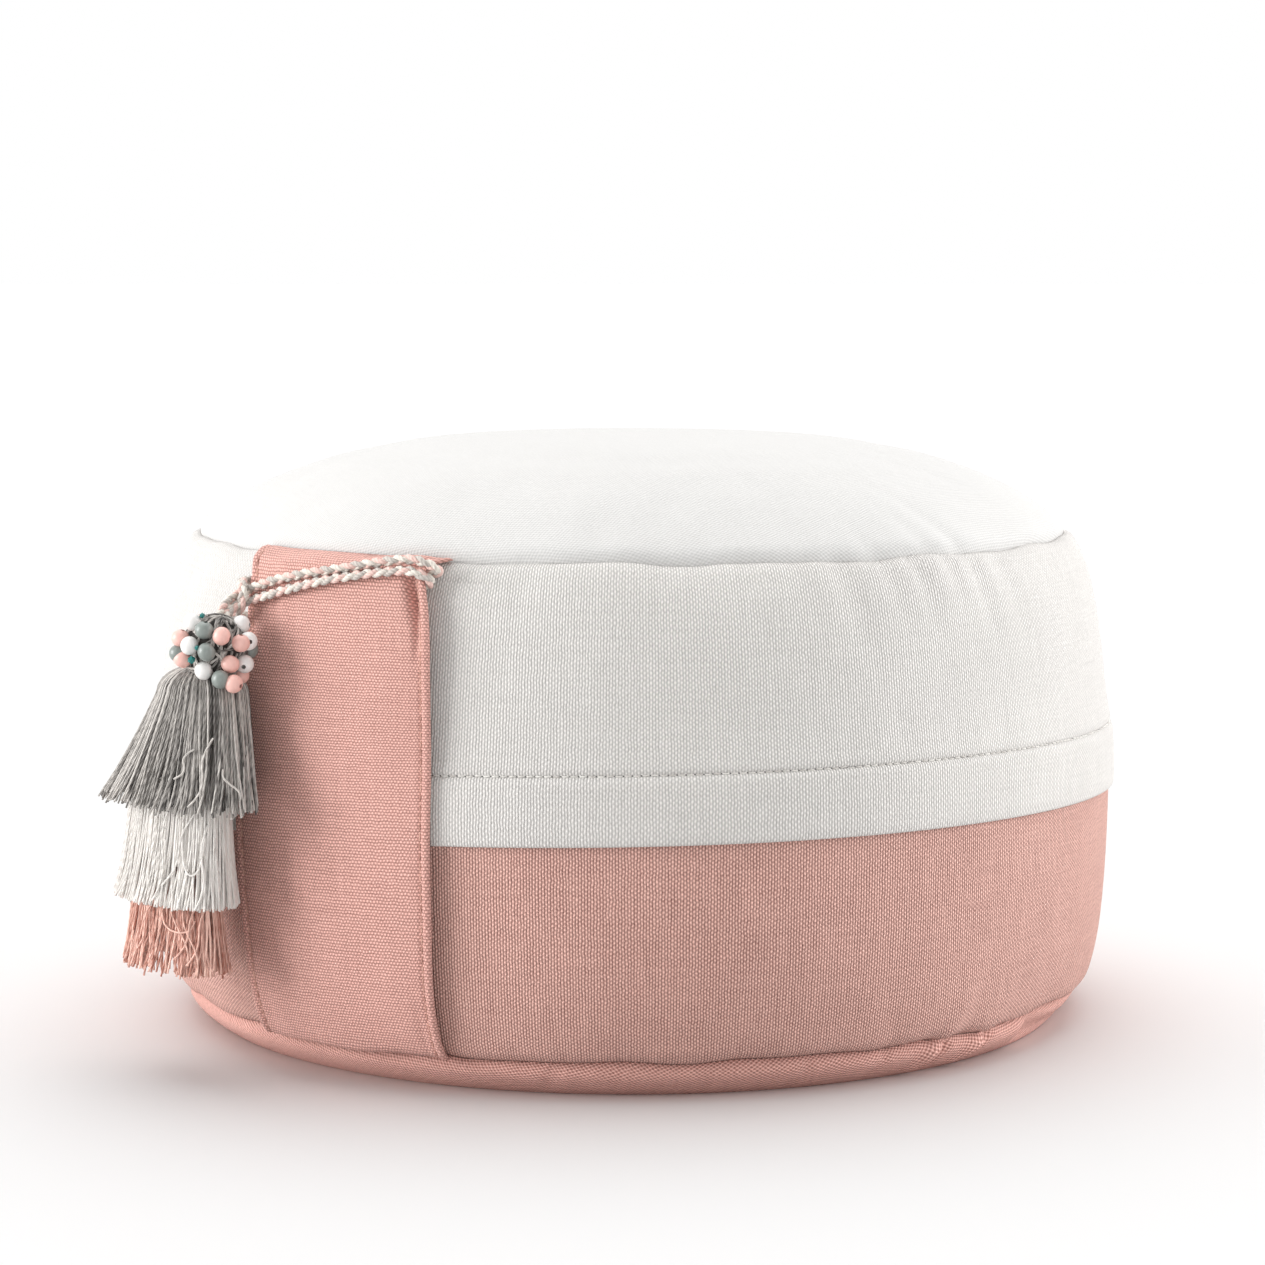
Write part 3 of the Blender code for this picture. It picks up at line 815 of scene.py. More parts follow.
# Painted light: the base's copy of the strap's pink canvas, made lighter where the lamps light the
# down-facing base less, with weaker painted weave shade.
PINK_BASE_LIT_COPY = Canvas("pink_base_canvas_painted_light", (0.70, 0.41, 0.357), 0.5, 1.34, pit_shade_tint=WARM_PIT_SHADE)
# Painted light: the side's copy of the strap's pink canvas, made lighter and redder where the lamps light
# the side less; its pits get deeper painted shade.
PINK_SIDE_LIT_COPY = Canvas("pink_side_canvas_painted_light", (0.92, 0.392, 0.338), 0.16, 1.58, 0.6, rib=0.5, pit_shade_tint=WARM_PIT_SHADE)
WHITE_CANVAS = Canvas("white_canvas", (0.662, 0.64, 0.617), 0.6, 1.24, rib=0.55)
# Painted shade: the crown's copy of the band's white canvas, made darker where the lamps light the top
# most, with weaker painted weave shade and light.
CROWN_CANVAS_SHADED_COPY = Canvas("crown_canvas_painted_shade", (0.595, 0.587, 0.575), 0.84, 1.09, 0.14)
GREY_YARN = YarnDyeAndPlyShade("grey_yarn", (0.045, 0.04, 0.037), (0.61, 0.573, 0.536))
CREAM_YARN = YarnDyeAndPlyShade("cream_yarn", (0.68, 0.645, 0.61), (0.79, 0.76, 0.725), ply=0.2)
SALMON_YARN = YarnDyeAndPlyShade("salmon_yarn", (0.37, 0.145, 0.105), (0.97, 0.655, 0.555))
CORD_CREAM = YarnDyeAndPlyShade("cord_cream", (0.55, 0.49, 0.43), (0.81, 0.76, 0.69), ply=0.5, plies=3.0)
CORD_PINK = YarnDyeAndPlyShade("cord_pink", (0.55, 0.33, 0.29), (0.84, 0.60, 0.54), ply=0.5, plies=3.0)
CORD_GREY = YarnDyeAndPlyShade("cord_grey", (0.35, 0.31, 0.28), (0.68, 0.63, 0.58), ply=0.5, plies=3.0)
BEAD_WHITE = BeadPaint("bead_white", (0.84, 0.82, 0.80))
BEAD_PINK = BeadPaint("bead_pink", (0.84, 0.50, 0.44))
BEAD_GREY = BeadPaint("bead_grey", (0.235, 0.262, 0.245), roughness=0.34)
BEAD_TEAL = BeadPaint("bead_teal", (0.012, 0.17, 0.16), roughness=0.25)
# Painted shade: the dark thread bits that stand for the shadow in the needle holes.
HOLE_SHADE = YarnDyeAndPlyShade("needle_hole_shade", (0.11, 0.11, 0.105), (0.23, 0.225, 0.215))
PINK_THREAD = YarnDyeAndPlyShade("pink_thread", (0.40, 0.20, 0.16), (0.70, 0.42, 0.34))
WHITE_THREAD = YarnDyeAndPlyShade("white_thread", (0.58, 0.55, 0.52), (0.84, 0.82, 0.78))


def points_of(bm: bmesh.types.BMesh) -> Array:
    """The mesh's points, in millimetres."""
    return np.array([vert.co[:] for vert in bm.verts], float)


def move_to(bm: bmesh.types.BMesh, points: Array) -> None:
    """Puts each vertex at its point."""
    for vert, point in zip(bm.verts, points):
        vert.co = point


def finish(
    name: str,
    bm: bmesh.types.BMesh,
    material: bpy.types.Material,
    threads: Array | None = None,
    period: float = 0.0,
    sharp: float = 60.0,
) -> bpy.types.Object:
    """Turns a mesh in millimetres into a smooth-shaded object in metres, at the origin.

    Args:
        name: the piece's name.
        bm: the mesh, which is freed.
        material: its finish.
        threads: for woven cloth, each vertex's place counted in threads.
        period: how many threads go once round, where the count starts again.
        sharp: the angle in degrees over which an edge stays sharp.

    Returns:
        The new object.
    """
    bmesh.ops.recalc_face_normals(bm, faces=bm.faces)
    if bm.calc_volume(signed=True) < 0.0:
        bmesh.ops.reverse_faces(bm, faces=bm.faces)
    bmesh.ops.scale(bm, vec=(MM, MM, MM), verts=bm.verts)
    mesh = bpy.data.meshes.new(name)
    bm.to_mesh(mesh)
    bm.free()
    mesh.materials.append(material)
    mesh.shade_smooth()
    mesh.set_sharp_from_angle(angle=math.radians(sharp))
    if threads is not None:
        lay_threads(mesh, threads, period)
    piece = bpy.data.objects.new(name, mesh)
    bpy.context.scene.collection.objects.link(piece)
    return piece


def lay_threads(mesh: bpy.types.Mesh, threads: Array, period: float) -> None:
    """Writes the thread counts as a UV map, whole within each face where they start again.

    Args:
        mesh: the woven piece.
        threads: each vertex's place across and along, counted in threads.
        period: the count once round, or 0.
    """
    corner = np.empty(len(mesh.loops), int)
    mesh.loops.foreach_get("vertex_index", corner)
    start = np.empty(len(mesh.polygons), int)
    total = np.empty(len(mesh.polygons), int)
    mesh.polygons.foreach_get("loop_start", start)
    mesh.polygons.foreach_get("loop_total", total)
    laid = threads[corner]
    if period:
        first = np.repeat(laid[start, 0], total)
        laid[:, 0] -= period * np.round((laid[:, 0] - first) / period)
    layer = mesh.uv_layers.new(name="threads")
    layer.uv.foreach_set("vector", laid.astype(np.float32).ravel())


def revolve(profile: Array, steps: int, closed: bool) -> bmesh.types.BMesh:
    """Spins a profile round the Z axis.

    Args:
        profile: rows of radius and height.
        steps: how many steps once round.
        closed: whether the profile is a loop, and not a line from pole to pole.

    Returns:
        The closed mesh, in millimetres.
    """
    bm = bmesh.new()
    verts = [bm.verts.new((radius, 0.0, height)) for radius, height in profile]
    pairs = list(zip(verts, verts[1:]))
    if closed:
        pairs.append((verts[-1], verts[0]))
    edges = [bm.edges.new(pair) for pair in pairs]
    bmesh.ops.spin(
        bm,
        geom=verts + edges,
        cent=(0.0, 0.0, 0.0),
        axis=(0.0, 0.0, 1.0),
        angle=math.tau,
        steps=steps,
        use_merge=True,
    )
    bmesh.ops.remove_doubles(bm, verts=bm.verts, dist=0.004)
    return bm


def laid_grid(points: Array, wrapped: bool) -> bmesh.types.BMesh:
    """Lays a grid on rows and columns of points.

    Args:
        points: an array of rows, columns and three parts.
        wrapped: whether the last column meets the first, as round a tube, whose ends are then closed.

    Returns:
        The mesh.
    """
    if wrapped:
        points = np.concatenate([points, points[:, :1]], axis=1)
    rows, columns = points.shape[:2]
    bm = bmesh.new()
    bmesh.ops.create_grid(bm, x_segments=columns - 1, y_segments=rows - 1, size=0.5)
    place = points_of(bm) + 0.5
    row = np.rint(place[:, 1] * (rows - 1)).astype(int)
    column = np.rint(place[:, 0] * (columns - 1)).astype(int)
    move_to(bm, points[row, column])
    if wrapped:
        bmesh.ops.remove_doubles(bm, verts=bm.verts, dist=1e-4)
        bmesh.ops.holes_fill(bm, edges=bm.edges, sides=0)
    return bm


def spread(rows: Rows, pitch: float) -> Array:
    """Adds rows along the smooth curve through a table.

    Args:
        rows: pairs of place and value.
        pitch: how far apart the places may lie.

    Returns:
        An array with a row of place and value for each.
    """
    table = np.array(rows, float)
    profile = Profile(rows)
    found: list[float] = []
    for start, end in zip(table[:-1, 0], table[1:, 0]):
        count = max(1, math.ceil((end - start) / pitch))
        found += list(np.linspace(start, end, count, endpoint=False))
    found.append(float(table[-1, 0]))
    return np.stack([np.array(found), profile.read(found)], axis=1)


def catmull(points: Array, per_span: int) -> Array:
    """Follows the smooth curve through some points.

    Args:
        points: the points.
        per_span: how many steps there are from each to the next.

    Returns:
        The curve's points.
    """
    ends = np.concatenate([points[:1], points, points[-1:]])
    before, start, end, after = ends[:-3], ends[1:-2], ends[2:-1], ends[3:]
    found = []
    for t in np.arange(per_span) / per_span:
        bend = 2 * start + (end - before) * t
        bend = bend + (2 * before - 5 * start + 4 * end - after) * t**2
        bend = bend + (3 * start - before - 3 * end + after) * t**3
        found.append(bend / 2)
    return np.concatenate([np.stack(found, axis=1).reshape(-1, 3), points[-1:]])


def evenly(points: Array, step: float) -> Array:
    """Spaces a line's points evenly.

    Args:
        points: the line.
        step: about how far apart they will lie.

    Returns:
        The new points.
    """
    run = np.concatenate([[0.0], np.cumsum(np.linalg.norm(np.diff(points, axis=0), axis=1))])
    places = np.linspace(0.0, run[-1], max(2, round(run[-1] / step) + 1))
    return np.stack([np.interp(places, run, points[:, i]) for i in range(3)], axis=1)


@dataclass(frozen=True)
class Yarn:
    """A twisted yarn: how thick it is, its plies, and how far along one ply takes to come round."""

    radius: float
    plies: int
    pitch: float
    sides: int = 5
    lobe: float = 0.0

    def spin(
        self,
        name: str,
        lines: Sequence[Array],
        material: bpy.types.Material,
        seed: int,
        shades: Sequence[float] = (),
    ) -> bpy.types.Object:
        """Makes one joined mesh of yarns along the lines.

        Args:
            name: the piece's name.
            lines: each yarn's points, in millimetres.
            material: its finish, which reads the shade attribute.
            seed: seeds each yarn's shade and the start of its twist.
            shades: the first lines' own shades, from 0 at the darkest to 1 at the lightest.

        Returns:
            The new object.
        """
        rng = np.random.default_rng(seed)
        curve = bpy.data.curves.new(name, "CURVE")
        curve.dimensions = "3D"
        curve.twist_mode = "MINIMUM"
        curve.bevel_mode = "OBJECT"
        outline = self.outline()
        curve.bevel_object = outline
        wound: list[Array] = []
        for line in lines:
            spline = curve.splines.new("POLY")
            spline.points.add(len(line) - 1)
            flat = np.concatenate([line * MM, np.ones((len(line), 1))], axis=1)
            spline.points.foreach_set("co", flat.ravel())
            run = np.concatenate([[0.0], np.cumsum(np.linalg.norm(np.diff(line, axis=0), axis=1))])
            if self.lobe:
                spline.points.foreach_set("tilt", run / self.pitch * math.tau)
            turns = run / self.pitch + rng.uniform()
            around, along = np.meshgrid(np.arange(self.sides) / self.sides, turns)
            wound.append(np.stack([around.ravel(), along.ravel()], axis=1))
        guide = bpy.data.objects.new(name + "_guide", curve)
        bpy.context.scene.collection.objects.link(guide)
        graph = bpy.context.evaluated_depsgraph_get()
        mesh = bpy.data.meshes.new_from_object(guide.evaluated_get(graph))
        for helper in (guide, outline):
            bpy.data.objects.remove(helper)
        bm = bmesh.new()
        bm.from_mesh(mesh)
        bmesh.ops.holes_fill(bm, edges=[edge for edge in bm.edges if edge.is_boundary], sides=0)
        bmesh.ops.recalc_face_normals(bm, faces=bm.faces)
        bm.to_mesh(mesh)
        bm.free()
        mesh.name = name
        mesh.materials.clear()
        mesh.materials.append(material)
        mesh.shade_smooth()
        mesh.set_sharp_from_angle(angle=math.radians(70.0))
        tones = rng.beta(1.4, 1.4, len(lines))
        tones[: len(shades)] = shades
        shade = np.repeat(tones, [len(line) * self.sides for line in lines])
        layer = mesh.attributes.new("shade", "FLOAT", "POINT")
        layer.data.foreach_set("value", shade.astype(np.float32))
        lay_threads(mesh, np.concatenate(wound), 1.0)
        piece = bpy.data.objects.new(name, mesh)
        bpy.context.scene.collection.objects.link(piece)
        return piece

    def outline(self) -> bpy.types.Object:
        """The yarn's cross-section, lobed where its plies lie.

        Returns:
            A closed curve object, for a curve's bevel.
        """
        shape = bpy.data.curves.new("yarn_outline", "CURVE")
        shape.dimensions = "2D"
        ring = shape.splines.new("POLY")
        ring.points.add(self.sides - 1)
        ring.use_cyclic_u = True
        turn = np.arange(self.sides) / self.sides * math.tau
        radius = self.radius * (1.0 - self.lobe + self.lobe * np.cos(self.plies * turn)) * MM
        zero = np.zeros(self.sides)
        flat = np.stack([radius * np.cos(turn), radius * np.sin(turn), zero, zero + 1.0], axis=1)
        ring.points.foreach_set("co", flat.ravel())
        outline = bpy.data.objects.new("yarn_outline", shape)
        bpy.context.scene.collection.objects.link(outline)
        return outline


def attach(piece: bpy.types.Object, node: str) -> None:
    """Fixes a piece to the cushion and reports it.

    Args:
        piece: the finished object.
        node: the CAD node that it stands for.
    """
    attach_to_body(piece, "root")
    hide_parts(node)
    piece.data.calc_loop_triangles()
    LOG.info("%s: %d triangles", piece.name, len(piece.data.loop_triangles))


STITCH_ARCH = np.sin(np.linspace(0.0, math.pi, 6)) ** 0.5  # how a stitch rises between its holes


@dataclass
class ClothPanels:
    """The filled cushion and the three panels sewn round it."""

    form: CushionForm
    steps: int = 360
    threads_round: int = 1108
    pink_row: float = 0.62
    white_row: float = 0.85
    disc_thread: tuple[float, float] = (0.97, 0.64)
    cloth: float = 1.2
    hem_edge: float = 78.5
    stitch_line: float = 100.95
    stitch_count: int = 384

    def wound(self, raw: Array, run: Array, row: float) -> Array:
        """Thread counts round the side and up it.

        Args:
            raw: points of the even form.
            run: how far along the profile each lies.
            row: the height of one thread.

        Returns:
            Each point's count across and along.
        """
        angle = np.arctan2(raw[:, 0], -raw[:, 1])
        return np.stack([angle / math.tau * self.threads_round, run / row], axis=1)

    def flat_cut(self, raw: Array, run: Array, turn: float) -> Array:
        """Thread counts over a disc, whose profile starts in its middle.

        Args:
            raw: points of the even form.
            run: how far along the profile each lies.
            turn: the angle at which the threads run, in degrees.

        Returns:
            Each point's count across and along.
        """
        angle = math.radians(turn)
        flat = raw[:, :2] * (run / np.maximum(np.hypot(raw[:, 0], raw[:, 1]), 1e-6))[:, None]
        across = flat[:, 0] * math.cos(angle) + flat[:, 1] * math.sin(angle)
        along = flat[:, 1] * math.cos(angle) - flat[:, 0] * math.sin(angle)
        return np.stack([across / self.disc_thread[0], along / self.disc_thread[1]], axis=1)

    def make(
        self,
        name: str,
        profile: Array,
        closed: bool,
        material: bpy.types.Material,
        threads: Callable[[Array, Array], Array],
        period: float = 0.0,
        finer: int = 1,
    ) -> bpy.types.Object:
        """Revolves a profile, counts its threads and settles it on the cushion.

        Args:
            name: the piece's name.
            profile: rows of radius and height.
            closed: whether the profile is a loop.
            material: the piece's finish.
            threads: gives the thread counts, from even points and their places along the profile.
            period: the thread count once round, where it starts again.
            finer: how many times the usual steps go round.

        Returns:
            The new object.
        """
        bm = revolve(profile, self.steps * finer, closed)
        raw = points_of(bm)
        move_to(bm, self.form.settle(raw))
        run = np.concatenate([[0.0], np.cumsum(np.linalg.norm(np.diff(profile, axis=0), axis=1))])
        level = np.stack([np.hypot(raw[:, 0], raw[:, 1]), raw[:, 2]], axis=1)
        nearest = np.linalg.norm(level[:, None] - profile, axis=2).argmin(axis=1)
        return finish(name, bm, material, threads(raw, run[nearest]), period)

    def filled_side(self, pink: bpy.types.Material) -> None:
        """The filled cushion, whose pink side shows under the hem.

        Args:
            pink: the side's finish.
        """
        under = -(self.cloth + 1.4)
        profile = [np.array([[0.0, 2.8], [100.0, 2.8], [150.0, 2.8]])]
        profile.append(self.form.turn_rows(((156.8, under), (160.4, under), (162.2, under))))
        shown = ((11.05, -1.6), (11.15, -0.5), (11.7, -0.08), (13.0, 0.0), (80.0, 0.0))
        profile.append(self.form.side_rows(spread(shown, 2.2)))
        hidden = ((83.0, -2.4), (110.0, under), (160.0, under), (171.0, under - 1.0))
        profile.append(self.form.side_rows(spread(hidden, 9.0)))
        profile.append(self.form.crown_rows(spread(((0.0, under), (154.0, under - 1.0)), 12.0)[::-1]))
        piece = self.make(
            "filled_side",
            np.concatenate(profile),
            False,
            pink,
            partial(self.wound, row=self.pink_row),
            self.threads_round,
        )
        attach(piece, "cushion_body")

    def upper_band(self, white: bpy.types.Material) -> None:
        """The white band: its hem is folded under, stitched down, and stands proud of the pink side.

        Args:
            white: the band's finish.
        """
        outer = (  # height, distance out
            (self.hem_edge + 0.9, 1.75),
            (self.hem_edge + 2.5, 1.95),
            (96.5, 1.9),
            (99.9, 1.6),
            (100.5, 0.85),
            (self.stitch_line, 0.2),
            (101.4, 0.7),
            (102.4, 1.1),
            (106.0, 0.7),
            (120.0, 0.0),
            (171.2, 0.0),
            (172.5, -0.12),
            (173.2, -0.6),
        )
        fold = ((self.hem_edge + 0.3, 0.45), (self.hem_edge, 1.0), (self.hem_edge + 0.25, 1.5))
        under = -self.cloth
        inner = ((79.2, 0.3), (99.0, 0.2), (104.0, -0.9), (120.0, under), (170.0, under), (172.9, -1.7))
        profile = [
            self.form.side_rows(fold),
            self.form.side_rows(spread(outer, 2.0)),
            self.form.side_rows(spread(inner, 9.0)[::-1]),
        ]
        piece = self.make(
            "white_band",
            np.concatenate(profile),
            True,
            white,
            partial(self.wound, row=self.white_row),
            self.threads_round,
        )
        attach(piece, "upper_band")

    def top_panel(self, white: bpy.types.Material) -> None:
        """The white crown.

        Args:
            white: its finish.
        """
        outer = ((0.0, 0.0), (152.0, 0.0), (155.4, -0.08), (156.5, -0.45), (156.85, -1.1))
        inner = ((0.0, -self.cloth), (150.0, -self.cloth), (155.6, -1.9))
        profile = [
            self.form.crown_rows(spread(outer, 3.2)),
            self.form.crown_rows(spread(inner, 14.0)[::-1]),
        ]
        cut = partial(self.flat_cut, turn=20.0)
        piece = self.make("white_crown", np.concatenate(profile), False, white, cut)
        attach(piece, "top_panel")

    def base_panel(self, pink: bpy.types.Material) -> None:
        """The pink disc underneath, turned up to the bottom seam.

        Args:
            pink: its finish.
        """
        turned = ((153.6, 0.0), (162.4, 0.0), (163.15, -0.4), (163.25, -1.1))
        inner = ((156.0, -self.cloth), (162.2, -1.9))
        flat = np.stack([np.linspace(0.0, self.form.FLAT_RADIUS, 20), np.zeros(20)], axis=1)
        lid = np.array([[152.4, self.cloth], [80.0, self.cloth], [0.0, self.cloth]])
        profile = [
            flat,
            self.form.turn_rows(spread(turned, 0.9)),
            self.form.turn_rows(spread(inner, 2.0)[::-1]),
            lid,
        ]
        cut = partial(self.flat_cut, turn=12.0)
        piece = self.make("pink_base", np.concatenate(profile), False, pink, cut, finer=2)
        attach(piece, "base_panel")

    def hem_stitches(self, thread: bpy.types.Material, dark: bpy.types.Material) -> None:
        """The line of stitches that holds the hem, and between them dark thread bits that paint the needle
        holes' shade.

        Args:
            thread: the stitches' finish.
            dark: the finish of the dark bits, painted shade of the holes.
        """
        pitch = 360.0 / self.stitch_count
        run = np.linspace(0.12, 0.88, 6)
        lines, hole_shades = [], []
        rng = np.random.default_rng(20)
        for i in range(self.stitch_count):
            height = self.stitch_line + rng.normal(0.0, 0.08)
            azimuth = (run + i) * pitch
            lines.append(self.form.on_side(azimuth, height, 0.34 + 0.36 * STITCH_ARCH))
            # Painted shade: three short dark points across each gap stand for the shadow in the needle
            # hole.
            azimuth = (np.array([-0.11, 0.0, 0.11]) + i) * pitch
            slant = height + np.array([0.1, 0.0, -0.1])
            hole_shades.append(self.form.on_side(azimuth, slant, np.array([0.3, 0.34, 0.3])))
        piece = Yarn(0.26, 2, 1.6).spin("hem_stitches", lines, thread, 21)
        attach(piece, "upper_band")
        piece = Yarn(0.3, 2, 1.6).spin("needle_hole_painted_shade", hole_shades, dark, 23)
        attach(piece, "upper_band")


@dataclass
class HandleStrap:
    """The doubled strap over the side, topstitched along both edges."""

    form: CushionForm
    thickness: float = 2.2
    width: float = 77.6
    radius: float = 172.0
    rows: int = 110
    stitch_inset: float = 3.1
    stitch_count: int = 52
    thread: tuple[float, float] = (0.95, 0.60)

    ROWS = (  # height, right azimuth, left azimuth, stand-off
        (11.4, -21.0, -47.3, 0.0),
        (12.2, -20.95, -47.2, 0.5),
        (14.8, -21.0, -46.9, 0.9),
        (20.0, -21.2, -46.5, 1.8),
        (34.0, -21.35, -46.6, 2.7),
        (58.0, -21.2, -46.9, 3.0),
        (78.0, -21.25, -47.3, 2.8),
        (92.0, -21.2, -47.3, 2.7),
        (104.0, -21.2, -47.2, 2.7),
        (124.0, -21.4, -46.8, 3.2),
        (138.0, -21.6, -46.7, 3.8),
        (148.0, -21.85, -46.8, 4.2),
        (156.0, -22.3, -47.3, 4.5),
        (162.5, -23.0, -47.8, 4.5),
        (167.0, -23.6, -48.8, 4.3),
        (170.0, -22.9, -49.6, 2.2),
        (172.3, -21.9, -50.4, 0.6),
        (173.3, -21.6, -50.6, 0.0),
    )
    EDGE = (0.06, 0.35, 0.8, 1.35, 2.0, 2.6, 3.1, 3.6, 4.2, 4.9, 5.6, 6.3, 7.1, 8.1, 9.4, 11.2)
    TUCKS = (  # height, part across from the left, reach up, reach across, depth
        (168.0, 0.930, 5.0, 0.027, 2.2),
        (159.5, 0.932, 5.5, 0.022, 3.9),
        (150.0, 0.940, 9.0, 0.015, 1.9),
        (150.0, 0.17, 16.0, 0.035, 1.1),
        (152.0, 0.25, 12.0, 0.025, -0.5),
        (140.0, 0.30, 20.0, 0.05, 0.5),
        (163.0, 0.10, 8.0, 0.05, 0.5),
        (160.0, 0.45, 10.0, 0.06, 0.35),
        (24.0, 0.10, 12.0, 0.04, 0.5),
        (22.0, 0.93, 12.0, 0.03, 0.6),
    )

    def surface(self, height: Array, share: Array, level: Array) -> Array:
        """Points of the strap.

        Args:
            height: the height of each point's row.
            share: the part across, from 0 at the left edge to 1 at the right.
            level: 0 on the inner face and 1 on the outer.

        Returns:
            The points, settled on the cushion.
        """
        table = np.array(self.ROWS)
        right, left, stand = (Profile(table[:, (0, i)]).read(height) for i in (1, 2, 3))
        out = stand + self.thickness * level
        width = np.radians(right - left) * self.radius
        for edge in (share * width, (1.0 - share) * width):
            out = out - 0.5 * level * fade(edge - self.stitch_inset, 0.62)
            out = out + 0.35 * level * fade(edge - 1.5, 1.1)
        for middle, part, reach_up, reach_across, depth in self.TUCKS:
            out = out - depth * fade(height - middle, reach_up) * fade(share - part, reach_across)
        return self.form.on_side(left + (right - left) * share, height, np.maximum(out, -0.6))

    def build(self, pink: bpy.types.Material, thread: bpy.types.Material) -> None:
        """Makes the strap and its topstitching.

        Args:
            pink: the strap's finish.
            thread: the stitches' finish.
        """
        share, depth = self.section()
        heights = np.linspace(self.ROWS[0][0], self.ROWS[-1][0], self.rows)
        grid_height, grid_share = np.meshgrid(heights, share, indexing="ij")
        points = self.surface(grid_height, grid_share, np.broadcast_to(depth, grid_share.shape))
        bm = laid_grid(points, wrapped=True)
        tree = KDTree(grid_height.size)
        for i, point in enumerate(points.reshape(-1, 3)):
            tree.insert(point, i)
        tree.balance()
        order = np.array([tree.find(point)[1] for point in points_of(bm)])
        across = np.linalg.norm(np.diff(points, axis=1), axis=2).mean(axis=0)
        run = np.broadcast_to(np.concatenate([[0.0], np.cumsum(across)]), grid_height.shape)
        counts = np.stack([grid_height.ravel() / self.thread[0], run.ravel() / self.thread[1]], axis=1)
        piece = finish("handle_band", bm, pink, counts[order])
        attach(piece, "handle_strap")
        self.stitches(thread)

    def section(self) -> tuple[Array, Array]:
        """The strap's cross-section, over its rounded outer face and back along its inner one.

        Returns:
            Each point's part across, from the left edge, and its level, from 0 inside to 1 outside.
        """
        inset = np.array(self.EDGE)
        middle = np.linspace(13.6, self.width - 13.6, 20)
        outer = np.concatenate([inset, middle, (self.width - inset)[::-1]]) / self.width
        level = np.ones_like(outer)
        level[[0, -1]], level[[1, -2]] = 0.72, 0.93
        inner = np.linspace(1.0 - 0.3 / self.width, 0.3 / self.width, 16)
        corner = (inner < 0.01) | (inner > 0.99)
        return np.concatenate([outer, inner]), np.concatenate([level, np.where(corner, 0.22, 0.0)])

    def stitches(self, thread: bpy.types.Material) -> None:
        """A line of stitches inside each edge.

        Args:
            thread: their finish.
        """
        lines = []
        start = self.ROWS[1][0] + 1.5
        pitch = (self.ROWS[-2][0] - 1.5 - start) / self.stitch_count
        run = np.linspace(0.14, 0.88, 6)
        inset = self.stitch_inset / self.width
        for edge in (inset, 1.0 - inset):
            for i in range(self.stitch_count):
                lines.append(self.surface(start + (run + i) * pitch, edge, 1.04 + 0.12 * STITCH_ARCH))
        piece = Yarn(0.27, 2, 1.6).spin("strap_stitches", lines, thread, 22)
        attach(piece, "handle_strap")


